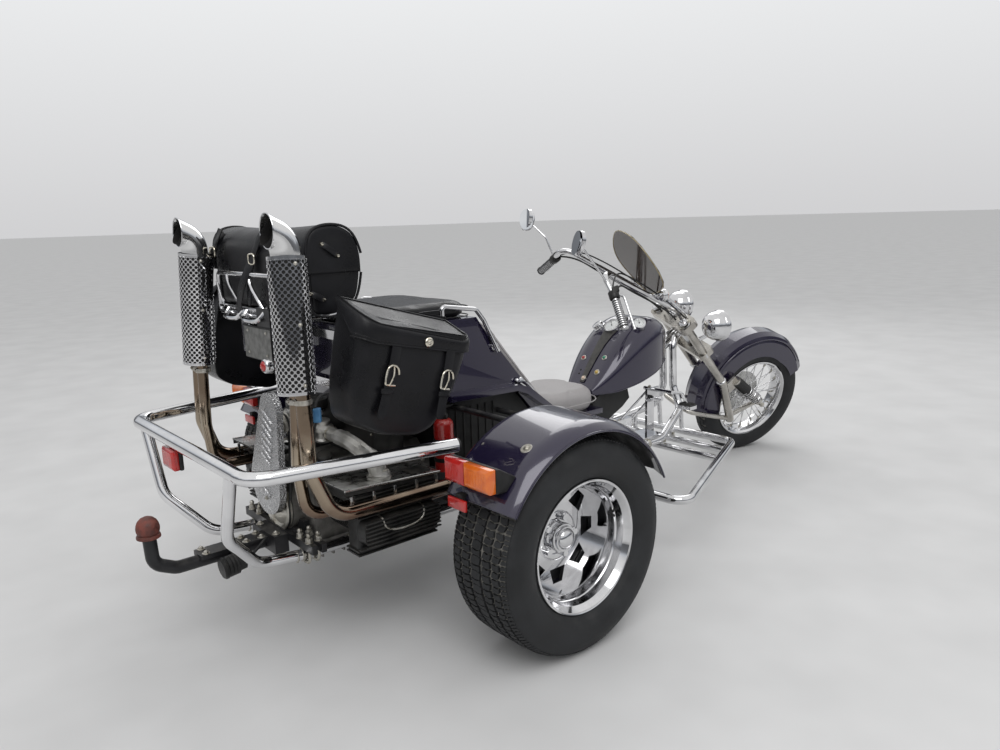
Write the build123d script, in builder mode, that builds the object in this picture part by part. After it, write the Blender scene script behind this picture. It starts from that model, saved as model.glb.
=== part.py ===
from build123d import *
from math import cos, sin, radians, sqrt
import os

# A three-wheeled touring trike: one steered wheel in front, an air-cooled flat
# four behind the rear axle. Millimetres, X forward, Y to the left, Z up, with
# the origin on the ground under the middle of the whole vehicle.

# Main places, measured from the rear axle along X and from the ground along Z
rear_axle_x = -730        # rear axle from the middle of the footprint
wheel_base = 2172         # rear axle to front axle, wheel straight ahead
rear_tyre_radius = 340
rear_tyre_half = 138      # half the width over the sidewalls
rear_wheel_y = 742        # middle of a rear wheel from the middle of the trike
front_tyre_radius = 320
front_tyre_half = 65
rake = 44.5               # steering axis back from upright
parked_steer = 22         # the front end stands turned this far to the right
head_x = 1584             # a point of the steering axis
head_z = 800

# Clearances and walls
pin_gap = 0.5             # a turning shaft in its bore
seat_gap = 0.3            # a part that is laid on another
sheet = 3                 # fenders and plates

body = Plane(origin=(rear_axle_x, 0, 0))


def turned_front():
    """The front end's own coordinates: the vehicle's, turned about the steering axis."""
    pivot = Vector(rear_axle_x + head_x, 0, head_z)
    axis = Axis(pivot, Vector(-sin(radians(rake)), 0, cos(radians(rake))))
    return Plane(
        origin=pivot + (Vector(rear_axle_x, 0, 0) - pivot).rotate(axis, -parked_steer),
        x_dir=Vector(1, 0, 0).rotate(axis, -parked_steer),
        z_dir=Vector(0, 0, 1).rotate(axis, -parked_steer),
    )


front = turned_front()


def place(base, x, y, z):
    """A point given in the coordinates of the body or of the turned front end."""
    return base.from_local_coords(Vector(x, y, z))


def facing(base, origin, x_dir, z_dir):
    """A sketch plane given in the same coordinates."""
    start = place(base, *origin)
    zero = place(base, 0, 0, 0)
    return Plane(origin=start, x_dir=place(base, *x_dir) - zero, z_dir=place(base, *z_dir) - zero)


def fork_point(ahead, side, up):
    """A point of the front end: ahead of the steering axis, to the left, and up along it."""
    c, s = cos(radians(rake)), sin(radians(rake))
    return (head_x + ahead * c - up * s, side, head_z + ahead * s + up * c)


def fork_facing(ahead, side, up):
    """A sketch plane square to the steering axis."""
    c, s = cos(radians(rake)), sin(radians(rake))
    return facing(front, fork_point(ahead, side, up), (c, 0, s), (-s, 0, c))


def tube(base, points, radius, bend):
    """A round tube along straight runs that are joined by tangent arcs."""
    with BuildPart() as run:
        with BuildLine(base) as route:
            if len(points) > 2:
                FilletPolyline(*points, radius=bend)
            else:
                Line(*points)
        with BuildSketch(Plane(origin=route.line @ 0, z_dir=route.line % 0)):
            Circle(radius)
        sweep()
    return run.part


def rod(base, start, end, radius):
    """A straight round bar."""
    return tube(base, [start, end], radius, 0)


def block(base, low, high, edge=0):
    """A box between two corners, its upright edges rounded."""
    size = [high[i] - low[i] for i in range(3)]
    with BuildPart() as box:
        with BuildSketch(facing(base, ((low[0] + high[0]) / 2, (low[1] + high[1]) / 2, low[2]),
                                (1, 0, 0), (0, 0, 1))):
            if edge:
                RectangleRounded(size[0], size[1], edge)
            else:
                Rectangle(size[0], size[1])
        extrude(amount=size[2])
    return box.part


def both_sides(piece):
    """A right-hand piece and its mirror image."""
    return [piece, piece.mirror(Plane.XZ)]


os.makedirs("parts", exist_ok=True)

# Main frame: two lower rails, twin down tubes, a backbone, the steering head and cross tubes
rail_y = 180
rail_z = 285
rail_radius = 18
head_radius = 30
stem_radius = 20
head_low = -170
head_high = -12
down_tube_y = 30

rails = both_sides(tube(body, [
    (-575, -rail_y, rail_z), (1230, -rail_y, rail_z), (1516, -75, 362), (1516, -down_tube_y, 470),
    (1508, -down_tube_y, 668),
    (1536, -26, 711), (1612, -18, 742),
], rail_radius, [120, 60, 60, 60, 25]))
backbone = tube(body, [(1645, 0, 742), (1560, 0, 712), (1300, 0, 600), (980, 0, 430), (450, 0, 400)], 24, [60, 200, 120])
cross_tubes = [rod(body, (x, -rail_y, rail_z), (x, rail_y, rail_z), 14) for x in (520, 1180)]
posts = both_sides(tube(body, [(520, -rail_y, rail_z), (520, -rail_y, 380), (470, 0, 400)], 14, 30))
saddles = both_sides(block(body, (340, -rail_y - 14, rail_z), (420, -rail_y + 14, 330), 4))

with BuildPart() as frame:
    add(rails)
    add(backbone)
    add(cross_tubes)
    add(posts)
    add(saddles)
    with BuildSketch(fork_facing(0, 0, head_low)):
        Circle(head_radius)
    extrude(amount=head_high - head_low)
    with BuildSketch(fork_facing(0, 0, head_low - 5)):
        Circle(stem_radius + pin_gap)
    extrude(amount=head_high - head_low + 10, mode=Mode.SUBTRACT)
frame.part.label = "frame"
export_step(frame.part, "parts/frame.step")

# Rear axle: gearbox ahead of the engine, swing arms on a cross tube, and axle tubes
axle_end_y = 596
gearbox = block(body, (-61 + seat_gap, -105, 240), (330, 105, 430), 40)
torsion_tube = rod(body, (380, -470, 340), (380, 470, 340), 38)
axle_tubes = rod(body, (0, -axle_end_y, rear_tyre_radius), (0, axle_end_y, rear_tyre_radius), 32)
nose = block(body, (300, -60, 270), (420, 60, 410), 20)
with BuildPart() as swing_arm:
    with BuildSketch(facing(body, (0, -430, 0), (1, 0, 0), (0, -1, 0))):
        with BuildLine():
            Polyline((380, 300), (380, 380), (0, 385), (-40, 340), (0, 295), close=True)
        make_face()
    extrude(amount=14)
with BuildPart() as rear_axle:
    add(gearbox)
    add(torsion_tube)
    add(axle_tubes)
    add(nose)
    add(both_sides(swing_arm.part))
    add(frame.part, mode=Mode.SUBTRACT)
    for side in (-1, 1):
        with BuildSketch(facing(body, (0, side * axle_end_y, rear_tyre_radius), (1, 0, 0), (0, side, 0))):
            Circle(115)
        extrude(amount=8)
        with BuildSketch(facing(body, (0, side * axle_end_y, rear_tyre_radius), (1, 0, 0), (0, side, 0))):
            Circle(20)
        extrude(amount=138)
rear_axle.part.label = "rear_axle"
export_step(rear_axle.part, "parts/rear_axle.step")

# Engine: the case and sump, two finned cylinders a side, heads and rocker covers
case_back = -520
case_front = -61
case_half = 150
crank_z = 400
barrel_x = (-420, -300)
head_y = 320
head_top = 530
cover_y = 395

with BuildPart() as engine_case:
    with BuildSketch(facing(body, (case_back, 0, 0), (0, 1, 0), (1, 0, 0))):
        with BuildLine():
            Polyline((-120, 250), (120, 250), (case_half, 300), (case_half, 480), (80, 540),
                     (-80, 540), (-case_half, 480), (-case_half, 300), close=True)
        make_face()
    extrude(amount=case_front - case_back)
    with BuildSketch(facing(body, (case_back, 0, crank_z), (0, 1, 0), (-1, 0, 0))):
        Circle(85)
    extrude(amount=40)
    with Locations([place(body, x, 0, 236) for x in range(-480, -100, 40)]):
        Box(6, 220, 28)
engine_case.part.label = "engine_case"
export_step(engine_case.part, "parts/engine_case.step")

with BuildPart() as cylinders:
    for x in barrel_x:
        with BuildSketch(facing(body, (x, -case_half - seat_gap, crank_z), (1, 0, 0), (0, -1, 0))):
            Circle(46)
        extrude(amount=head_y - case_half - seat_gap)
        for step in range(9):
            with BuildSketch(facing(body, (x, -case_half - 14 - step * 16, crank_z), (1, 0, 0), (0, -1, 0))):
                Circle(58)
            extrude(amount=5)
    add(block(body, (-500, -cover_y + 6, 318), (-220, -head_y, head_top), 12))
    with Locations([place(body, -360, -(head_y + cover_y) / 2, z) for z in range(446, 524, 16)]):
        Box(292, cover_y - head_y, 6)
    with Locations([place(body, -360, -(head_y + cover_y) / 2, z) for z in range(322, 346, 12)]):
        Box(292, cover_y - head_y, 5)
    with BuildSketch(facing(body, (-360, -cover_y + 6, 394), (1, 0, 0), (0, -1, 0))):
        RectangleRounded(284, 84, 30)
    extrude(amount=36, taper=6)
    with BuildSketch(facing(body, (0, -232, 0), (1, 0, 0), (0, -1, 0))):
        with BuildLine():
            Polyline((-545, 536), (-545, 541), (-205, 522), (-205, 517), close=True)
        make_face()
    extrude(amount=cover_y + 10 - 232)
    with BuildSketch(facing(body, (0, -cover_y - 7, 0), (1, 0, 0), (0, -1, 0))):
        with BuildLine():
            Polyline((-545, 524), (-545, 541), (-205, 522), (-205, 505), close=True)
        make_face()
    extrude(amount=3)
    mirror(about=Plane.XZ)
cylinders.part.label = "cylinders"
export_step(cylinders.part, "parts/cylinders.step")

# Fan housing over the engine, with the generator behind it
with BuildPart() as fan_housing:
    with BuildSketch(facing(body, (-330, 0, 0), (0, 1, 0), (1, 0, 0))):
        with BuildLine():
            Polyline((-230, 542), (-230, 640), (-120, 760))
            ThreePointArc((-120, 760), (0, 815), (120, 760))
            Polyline((120, 760), (230, 640), (230, 542), (-230, 542))
        make_face()
    extrude(amount=110)
    with BuildSketch(facing(body, (-330, 0, 660), (0, 1, 0), (-1, 0, 0))):
        Circle(52)
    extrude(amount=150)
    with BuildSketch(facing(body, (-480, 0, 660), (0, 1, 0), (-1, 0, 0))):
        Circle(62)
    extrude(amount=30)
fan_housing.part.label = "fan_housing"
export_step(fan_housing.part, "parts/fan_housing.step")

# Intake: carburettor, manifold arms down to the heads, and the round air filter
arm = tube(body, [(-430, -20, 640), (-430, -200, 640), (-392, -352, 590), (-392, -352, 515)], 22, [60, 40])
with BuildPart() as intake:
    add(both_sides(arm))
    add(block(body, (-462, -45, 600), (-398, 45, 700), 14))
    add([fan_housing.part, cylinders.part], mode=Mode.SUBTRACT)
intake.part.label = "intake"
export_step(intake.part, "parts/intake.step")

# Exhaust: two pipes a side rise into an upright silencer that ends in a turned-out tip
stack_foot = (-651, -368, 846)
stack_top = (-638, -340, 1226)
stack_radius = 38
tip_radius = 43
tip_bend = 60
tip_mouth = -687            # the tips are cut upright here
shield_radius = 53.5

outer_pipe = tube(body, [
    (-235, -346, 432), (-160, -346, 432), (-160, -425, 474), (-596, -425, 482), (-650, -404, 632), (-646, -389, 846),
], 22, [30, 35, 85, 60])
inner_pipe = tube(body, [(-480, -345, 470), (-640, -345, 474), (-657, -345, 630), (-648, -352, 846)], 18, [60, 60])
silencer = rod(body, stack_foot, stack_top, stack_radius)


def turn_out(start_z, radius):
    """The tip's elbow from a height of the stack, carried on past the mouth."""
    side, corner = stack_top[1], stack_top[2] + 42
    return tube(body, [(stack_top[0], side, start_z), (stack_top[0], side, corner),
                       (stack_top[0] - 118, side, corner + 63)], radius, tip_bend)


with BuildPart() as exhaust:
    add(outer_pipe)
    add(inner_pipe)
    add(silencer)
    add(turn_out(stack_top[2] - 40, tip_radius))
    add(turn_out(stack_top[2] + 4, tip_radius - 2.5), mode=Mode.SUBTRACT)
    add(block(body, (tip_mouth - 130, stack_top[1] - 90, 1180), (tip_mouth, stack_top[1] + 90, 1420), 0),
        mode=Mode.SUBTRACT)
    mirror(about=Plane.XZ)
    add(cylinders.part, mode=Mode.SUBTRACT)
exhaust.part.label = "exhaust"
export_step(exhaust.part, "parts/exhaust.step")

with BuildPart() as heat_shields:
    shield_run = facing(body, stack_foot, (1, 0, 0),
                        [stack_top[i] - stack_foot[i] for i in range(3)])
    shield_length = sqrt(sum((stack_top[i] - stack_foot[i]) ** 2 for i in range(3)))
    with BuildSketch(shield_run):
        Circle(shield_radius)
        Circle(shield_radius - 2, mode=Mode.SUBTRACT)
    extrude(amount=shield_length)
    for lift in (6, shield_length - 10):
        with BuildSketch(shield_run.offset(lift)):
            Circle(shield_radius - 1)
            Circle(stack_radius + seat_gap, mode=Mode.SUBTRACT)
        extrude(amount=3)
    mirror(about=Plane.XZ)
    add(exhaust.part, mode=Mode.SUBTRACT)
heat_shields.part.label = "heat_shields"
export_step(heat_shields.part, "parts/heat_shields.step")

# Louvred guard over the belt, standing on the engine case
guard_x = -585
guard_foot = (6, 482, 104)      # side, height and radius of the round about the crank's pulley
guard_head = (-62, 735, 60)     # and about the generator's
with BuildPart() as belt_guard:
    for start, deep, shrink, how in ((guard_x, 22, 0, Mode.ADD), (guard_x + 1, 19, 3, Mode.SUBTRACT)):
        with BuildSketch(facing(body, (start, 0, 0), (0, 1, 0), (-1, 0, 0))):
            for y, z, radius in (guard_foot, guard_head):
                with Locations((y, -z)):
                    Circle(radius - shrink)
            make_hull()
        extrude(amount=deep, mode=how)
    with BuildSketch(facing(body, (guard_x - 30, 0, 0), (0, 1, 0), (1, 0, 0))):
        with Locations([(-58 - 0.27 * (z - 720), z) for z in range(570, 735, 24)] + [(6, 460)]):
            SlotOverall(74, 9, rotation=28)
    extrude(amount=20, mode=Mode.SUBTRACT)
    for y, z, end in ((6, 430, case_back - 40), (-30, 640, -510)):
        with BuildSketch(facing(body, (guard_x - 20, y, z), (0, 1, 0), (1, 0, 0))):
            Circle(10)
        extrude(amount=end - seat_gap - guard_x + 20)
belt_guard.part.label = "belt_guard"
export_step(belt_guard.part, "parts/belt_guard.step")

# Bumper: a round rail about the stern and two legs that sweep in to the lower rails
bumper_z = 662
bumper_radius = 21
bumper_rail = tube(body, [
    (-270, -594, bumper_z), (-856, -466, bumper_z), (-856, 466, bumper_z), (-270, 594, bumper_z),
], bumper_radius, 75)
bumper_leg = tube(body, [
    (-856, -356, bumper_z), (-850, -262, 440), (-730, -178, 300), (-576, -rail_y, rail_z),
], rail_radius, [90, 80])
with BuildPart() as bumper:
    add(bumper_rail)
    add(both_sides(bumper_leg))
    add(frame.part, mode=Mode.SUBTRACT)
    add(block(body, (-590, -260, rail_z + rail_radius), (-530, 260, rail_z + 60), 0), mode=Mode.SUBTRACT)
bumper.part.label = "bumper"
export_step(bumper.part, "parts/bumper.step")

# Engine mount: a pair of square bars that U-bolts clamp down on the two lower rails
mount_x = -560
mount_bar_z = rail_z + rail_radius + seat_gap
with BuildPart() as engine_mount:
    for x in (mount_x - 16, mount_x + 16):
        add(block(body, (x - 9, -250, mount_bar_z), (x + 9, 250, mount_bar_z + 28), 3))
    for y in (-150, 0, 150):
        add(block(body, (mount_x - 16, y - 8, mount_bar_z + 6), (mount_x + 16, y + 8, mount_bar_z + 22), 0))
    add(block(body, (mount_x + 20, -110, mount_bar_z + 4), (case_back - seat_gap, 110, mount_bar_z + 60), 0))
    for side in (-1, 1):
        for x in (mount_x - 16, mount_x + 16):
            for y in (side * rail_y - 30, side * rail_y + 30):
                with BuildSketch(facing(body, (x, y, mount_bar_z + 28), (1, 0, 0), (0, 0, 1))):
                    RegularPolygon(9, 6)
                extrude(amount=14)
                with BuildSketch(facing(body, (x, y, mount_bar_z + 42), (1, 0, 0), (0, 0, 1))):
                    Circle(7)
                extrude(amount=10, taper=25)
    add(engine_case.part, mode=Mode.SUBTRACT)
engine_mount.part.label = "engine_mount"
export_step(engine_mount.part, "parts/engine_mount.step")

# Tow bar: a swan neck with a 50 mm ball under its rubber cover, and the socket beside it
ball_x = -984
ball_z = 440
ball_radius = 25
cover_radius = 33
bar_z = 290
tow_line = tube(body, [
    (ball_x, 0, ball_z - 15), (ball_x + 4, 0, 322), (-915, 0, bar_z), (-610, 0, bar_z),
], 20, [45, 55])
with BuildPart() as tow_bar:
    add(tow_line)
    with Locations(place(body, ball_x, 0, ball_z)):
        Sphere(ball_radius)
    add(block(body, (-850, -34, bar_z + 12), (-600, 34, bar_z + 26), 6))
    add(block(body, (-632, -84, bar_z - 22), (mount_x - 25 - seat_gap, 84, bar_z + 38), 0))
tow_bar.part.label = "tow_bar"
export_step(tow_bar.part, "parts/tow_bar.step")

with BuildPart() as ball_cover:
    with Locations(place(body, ball_x, 0, ball_z)):
        Sphere(cover_radius)
        Sphere(ball_radius + seat_gap, mode=Mode.SUBTRACT)
    with BuildSketch(facing(body, (ball_x, 0, ball_z - 30), (1, 0, 0), (0, 0, 1))):
        Circle(34)
        Circle(23, mode=Mode.SUBTRACT)
    extrude(amount=9)
    with BuildSketch(facing(body, (ball_x, 0, ball_z - 60), (1, 0, 0), (0, 0, 1))):
        Circle(60)
    extrude(amount=30, mode=Mode.SUBTRACT)
    add(tow_bar.part, mode=Mode.SUBTRACT)
ball_cover.part.label = "ball_cover"
export_step(ball_cover.part, "parts/ball_cover.step")

socket_y = -75
socket_z = 282
socket_radius = 33
with BuildPart() as trailer_socket:
    with BuildSketch(facing(body, (-732, socket_y, socket_z), (0, 1, 0), (-1, 0, 0))):
        Circle(socket_radius - 6)
    extrude(amount=24)
    with BuildSketch(facing(body, (-756, socket_y, socket_z), (0, 1, 0), (-1, 0, 0))):
        Circle(socket_radius)
    extrude(amount=44)
    add(block(body, (-756, socket_y - 10, socket_z - 8), (-744, -20 - seat_gap, socket_z + 8), 0))
    add(tow_bar.part, mode=Mode.SUBTRACT)
trailer_socket.part.label = "trailer_socket"
export_step(trailer_socket.part, "parts/trailer_socket.step")

# Rear fenders: a rolled shell over each tyre with a round crown and a flared lip
fender_inner_y = 600
fender_outer_y = 886
fender_radius = 382
fender_back = 149
fender_front = 24
with BuildPart() as fenders:
    with BuildSketch(facing(body, (0, 0, rear_tyre_radius), (0, -1, 0), (1, 0, 0))):
        with BuildLine():
            Line((fender_inner_y, fender_radius - 60), (fender_inner_y, fender_radius - 12))
            RadiusArc((fender_inner_y, fender_radius - 12), (fender_inner_y + 40, fender_radius + 12), 45)
            Line((fender_inner_y + 40, fender_radius + 12), (fender_outer_y - 60, fender_radius + 6))
            RadiusArc((fender_outer_y - 60, fender_radius + 6), (fender_outer_y, fender_radius - 18), 90)
            Line((fender_outer_y, fender_radius - 18), (fender_outer_y, fender_radius - 24))
            Line((fender_outer_y, fender_radius - 24), (fender_outer_y - 62, fender_radius + 1))
            Line((fender_outer_y - 62, fender_radius + 1), (fender_inner_y + 41, fender_radius + 7))
            Line((fender_inner_y + 41, fender_radius + 7), (fender_inner_y + sheet, fender_radius - 14))
            Line((fender_inner_y + sheet, fender_radius - 14), (fender_inner_y + sheet, fender_radius - 60))
            Line((fender_inner_y + sheet, fender_radius - 60), (fender_inner_y, fender_radius - 60))
        make_face()
    hub = place(body, 0, 0, rear_tyre_radius)
    revolve(axis=Axis(hub, (0, 1, 0)), revolution_arc=360)
    with BuildSketch(facing(body, (0, -fender_inner_y + 10, rear_tyre_radius), (1, 0, 0), (0, -1, 0))):
        with BuildLine():
            reach = 520
            back = (reach * cos(radians(fender_back)), reach * sin(radians(fender_back)))
            ahead = (reach * cos(radians(fender_front)), reach * sin(radians(fender_front)))
            Polyline((0, 0), ahead, (reach, reach), (-reach, reach), back, (0, 0))
        make_face()
    extrude(amount=fender_outer_y, mode=Mode.INTERSECT)
    add(rod(body, (-20, -232 - seat_gap, 676), (-20, -fender_inner_y - 2, 676), 10))
    add(rod(body, (200, -232 - seat_gap, 621), (200, -fender_inner_y - 2, 621), 10))
    mirror(about=Plane.XZ)
fenders.part.label = "fenders"
export_step(fenders.part, "parts/fenders.step")

# Rear lamps: a lamp on a wedge base at each fender's back with a reflector under it, and a fog lamp
# hung from the bumper rail
lamp_low_y = 640
lamp_high_y = 845
lamp_x = 18 - fender_radius     # the lamp's face
lamp_z = rear_tyre_radius + 280
fog_y = 100
with BuildPart() as tail_lamps:
    add(block(body, (lamp_x + 28, -lamp_high_y, lamp_z - 34), (lamp_x + 102, -lamp_low_y, lamp_z + 42), 0))
    add(block(body, (lamp_x, -lamp_high_y + 4, lamp_z - 30), (lamp_x + 28, -lamp_low_y - 4, lamp_z + 38), 0))
    add(block(body, (lamp_x + 4, -732, lamp_z - 107), (lamp_x + 14, -654, lamp_z - 75), 0))
    add(block(body, (lamp_x + 14, -706, lamp_z - 96), (lamp_x + 44, -680, lamp_z - 64), 0))
    add(fenders.part, mode=Mode.SUBTRACT)
    with BuildSketch(facing(body, (0, -fender_outer_y, rear_tyre_radius), (1, 0, 0), (0, 1, 0))):
        Circle(fender_radius + 7)
    extrude(amount=fender_outer_y, mode=Mode.SUBTRACT)
    mirror(about=Plane.XZ)
    with BuildSketch(facing(body, (-842, fog_y, bumper_z - 57), (0, 1, 0), (-1, 0, 0))):
        RectangleRounded(98, 66, 22)
    extrude(amount=34, taper=12)
    add(block(body, (-850, fog_y - 12, bumper_z - 42), (-838, fog_y + 12, bumper_z - 14), 0))
    add(bumper.part, mode=Mode.SUBTRACT)
tail_lamps.part.label = "tail_lamps"
export_step(tail_lamps.part, "parts/tail_lamps.step")

# Body tub: a wedge under both seats with a wide ledge, on a tray that stands on the gearbox
tub_half = 245
ledge_half = 298
tub_back = -335
with BuildPart() as body_tub:
    with BuildSketch(facing(body, (0, tub_half, 0), (1, 0, 0), (0, -1, 0))):
        with BuildLine():
            Polyline((tub_back, 715), (tub_back, 975), (100, 975), (128, 935), (452, 552), (470, 500),
                     (850, 500), (850, 478), (456, 478), (410, 540), (270, 695), (240, 715), close=True)
        make_face()
    extrude(amount=2 * tub_half)
    with BuildSketch(facing(body, (0, ledge_half, 0), (1, 0, 0), (0, -1, 0))):
        with BuildLine():
            Polyline((-60, 704), (-60, 726), (248, 717), (300, 700), (440, 592), (436, 574), (288, 676),
                     (240, 695), close=True)
        make_face()
    extrude(amount=2 * ledge_half)
    add(block(body, (455, -160, 478), (850, -tub_half - 1, 510), 0), mode=Mode.SUBTRACT)
    add(block(body, (455, 160, 478), (850, tub_half + 1, 510), 0), mode=Mode.SUBTRACT)
    add(block(body, (tub_back + 12, -tub_half + 12, 690), (60, tub_half - 12, 960), 0), mode=Mode.SUBTRACT)
    add(fan_housing.part, mode=Mode.SUBTRACT)
body_tub.part.label = "body_tub"
export_step(body_tub.part, "parts/body_tub.step")

# Tray: the black box under the tub, with the battery bay, the seat's feet on the backbone and the
# dark side panel between the seat and the tank
with BuildPart() as tray:
    with BuildSketch(facing(body, (0, 232, 0), (1, 0, 0), (0, -1, 0))):
        with BuildLine():
            Polyline((-45, 540), (-45, 715 - seat_gap), (235, 715 - seat_gap), (264, 697), (400, 543),
                     (400, 430 + seat_gap), (-20, 430 + seat_gap), close=True)
        make_face()
    extrude(amount=464)
    add(block(body, (560, -30, 400), (620, 30, 478 - seat_gap), 0))
    add(block(body, (790, -30, 400), (840, 30, 478 - seat_gap), 0))
    with BuildSketch(facing(body, (0, 88, 0), (1, 0, 0), (0, -1, 0))):
        with BuildLine():
            Polyline((700, 478 - seat_gap), (868, 478 - seat_gap), (868, 500), (912, 532), (1092, 560),
                     (1113, 488), (1066, 455), (960, 408), (840, 396), (740, 428), close=True)
        make_face()
    extrude(amount=176)
    add([frame.part, body_tub.part, rear_axle.part, fan_housing.part, engine_case.part], mode=Mode.SUBTRACT)
tray.part.label = "tray"
export_step(tray.part, "parts/tray.step")

# Passenger seat on top of the tub
with BuildPart() as passenger_seat:
    with BuildSketch(facing(body, (0, 0, 975 + seat_gap), (1, 0, 0), (0, 0, 1))):
        with Locations((-112, 0)):
            RectangleRounded(440, 470, 60)
    extrude(amount=58)
    fillet(passenger_seat.faces().sort_by(Axis.Z)[-1].edges(), 24)
passenger_seat.part.label = "passenger_seat"
export_step(passenger_seat.part, "parts/passenger_seat.step")

# Driver's seat: the cushion on the tub's tongue and the long pad against the slope
pad_low = (447, 0, 558)
pad_rise = (128 - 452, 0, 935 - 552)
pad_face = facing(body, (290, 0, 743.5), (0, 1, 0), (383, 0, 324))
with BuildPart() as driver_seat:
    with BuildSketch(facing(body, (0, 0, 500 + seat_gap), (1, 0, 0), (0, 0, 1))):
        with Locations((688, 0)):
            RectangleRounded(350, 360, 120)
    extrude(amount=100)
    fillet(driver_seat.faces().sort_by(Axis.Z)[-1].edges(), 40)
    with BuildSketch(pad_face.offset(seat_gap)):
        RectangleRounded(430, 500, 60)
    extrude(amount=50)
    add(body_tub.part, mode=Mode.SUBTRACT)
driver_seat.part.label = "driver_seat"
export_step(driver_seat.part, "parts/driver_seat.step")

# Hand rails beside the passenger, bent down onto the tub's sides
hand_rail = tube(body, [
    (-57, -258, 950), (-57, -258, 1026), (88, -258, 1004), (122, -258, 962), (182, -258, 850),
], 8, [12, 20, 20])
with BuildPart() as hand_rails:
    add(both_sides(hand_rail))
    for side in (-1, 1):
        for x, z in ((-57, 955), (176, 862)):
            with BuildSketch(facing(body, (x, side * (tub_half + seat_gap), z), (1, 0, 0), (0, side, 0))):
                Circle(15)
            extrude(amount=8)
hand_rails.part.label = "hand_rails"
export_step(hand_rails.part, "parts/hand_rails.step")

# Tank: an upswept drop over the backbone, round above and with a tight lower edge, at named stations
# from the seat to the head: place, half width, bottom, top, radius of the top corners
tank_stations = [
    (876, 76, 534, 560, 10),
    (980, 132, 541, 690, 70),
    (1100, 160, 567, 800, 100),
    (1220, 160, 600, 845, 96),
    (1330, 122, 643, 818, 60),
]
tank_edge = 10
with BuildPart() as tank:
    for x, half, low, high, corner in tank_stations:
        with BuildSketch(facing(body, (x, 0, (low + high) / 2), (0, 1, 0), (1, 0, 0))) as section:
            Rectangle(2 * half, high - low)
            fillet(section.vertices().group_by(Axis.Y)[-1], corner)
            fillet(section.vertices().group_by(Axis.Y)[0], tank_edge)
    loft()
    add(block(body, (1000, -18, 452), (1040, 18, 570), 0))
    add(block(body, (1240, -18, 578), (1280, 18, 700), 0))
    add([frame.part, body_tub.part, tray.part], mode=Mode.SUBTRACT)
tank.part.label = "tank"
export_step(tank.part, "parts/tank.step")

# Dials: the strip down the tank's middle with a gauge, a second gauge, the cap and the lamps
with BuildPart() as dials:
    with BuildSketch(facing(body, (0, 24, 0), (1, 0, 0), (0, -1, 0))):
        with BuildLine():
            Polyline((889, 548), (884, 560), (978, 698), (1100, 806), (1180, 840), (1180, 700), (1000, 600),
                     close=True)
        make_face()
    extrude(amount=48)
    for x, y, z, lean, radius, high in (
        (1090, 0, 770, -38, 42, 62), (1174, -112, 762, -22, 32, 56), (1108, 96, 740, -24, 27, 86),
    ):
        with BuildSketch(facing(body, (x, y, z), (1, 0, 0), (sin(radians(lean)), 0, cos(radians(lean))))):
            Circle(radius)
        extrude(amount=high)
    for x, y, z in ((965, 60, 655), (976, -60, 658), (929, -60, 600), (900, 0, 545)):
        with BuildSketch(facing(body, (x, y, z), (0, 1, 0), (-0.8, 0, 0.6))):
            Circle(9)
        extrude(amount=36)
    add(tank.part, mode=Mode.SUBTRACT)
dials.part.label = "dials"
export_step(dials.part, "parts/dials.step")

# Saddlebags, pitched nose down: open boxes with a hinge rod along the inner top edge
bag_pitch = 13
bag_base = Plane(
    origin=(rear_axle_x - 560, 0, 740),
    x_dir=(cos(radians(bag_pitch)), 0, -sin(radians(bag_pitch))),
    z_dir=(sin(radians(bag_pitch)), 0, cos(radians(bag_pitch))),
)
bag_inner_y = 415
bag_outer_y = 566
bag_wall = 4
bag_top = 352
bag_hinge = (-bag_inner_y - 1, 364)
lid_gap = 5
lid_wall = 4
hinge_radius = 3
bag_back = -52            # upright ends of the bag's upper half, so that the lid lifts off freely
bag_ahead = 318
bag_fall = 36             # the rim and the lid fall this far towards the outer side
bag_corner = 58           # corners of the outer side, seen from above
bag_low = [(-46, 110), (-26, 30), (40, 6), (180, 6), (242, 40), (300, 170)]
lid_low = 246
lid_rise = 22             # top of the lid over the rim at the hinge


def bag_prism(grow, low, high):
    """A bag's plan with its outer corners rounded, between two heights and grown outwards."""
    base = facing(bag_base, ((bag_back + bag_ahead) / 2, -(bag_outer_y + bag_inner_y) / 2 + 150, low),
                  (1, 0, 0), (0, 0, 1))
    with BuildPart() as prism:
        with BuildSketch(base):
            RectangleRounded(bag_ahead - bag_back + 2 * grow, bag_outer_y - bag_inner_y + 300 + 2 * grow,
                             bag_corner + grow)
        extrude(amount=high - low)
    return prism.part


def bag_shape(shrink, rim):
    """The bag's side view between its inner and outer faces, moved in by a wall."""
    with BuildPart() as shape:
        with BuildSketch(facing(bag_base, (0, -bag_inner_y - shrink, 0), (1, 0, 0), (0, -1, 0))):
            with BuildLine():
                Polyline((bag_back + shrink, rim), (bag_back + shrink, 240),
                         *[(x + (shrink if x < 100 else -shrink), z + shrink) for x, z in bag_low],
                         (bag_ahead - shrink, 240), (bag_ahead - shrink, rim), close=True)
            make_face()
        extrude(amount=bag_outer_y - bag_inner_y - 2 * shrink)
        add(bag_prism(-shrink, 0, rim), mode=Mode.INTERSECT)
    return shape.part


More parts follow.
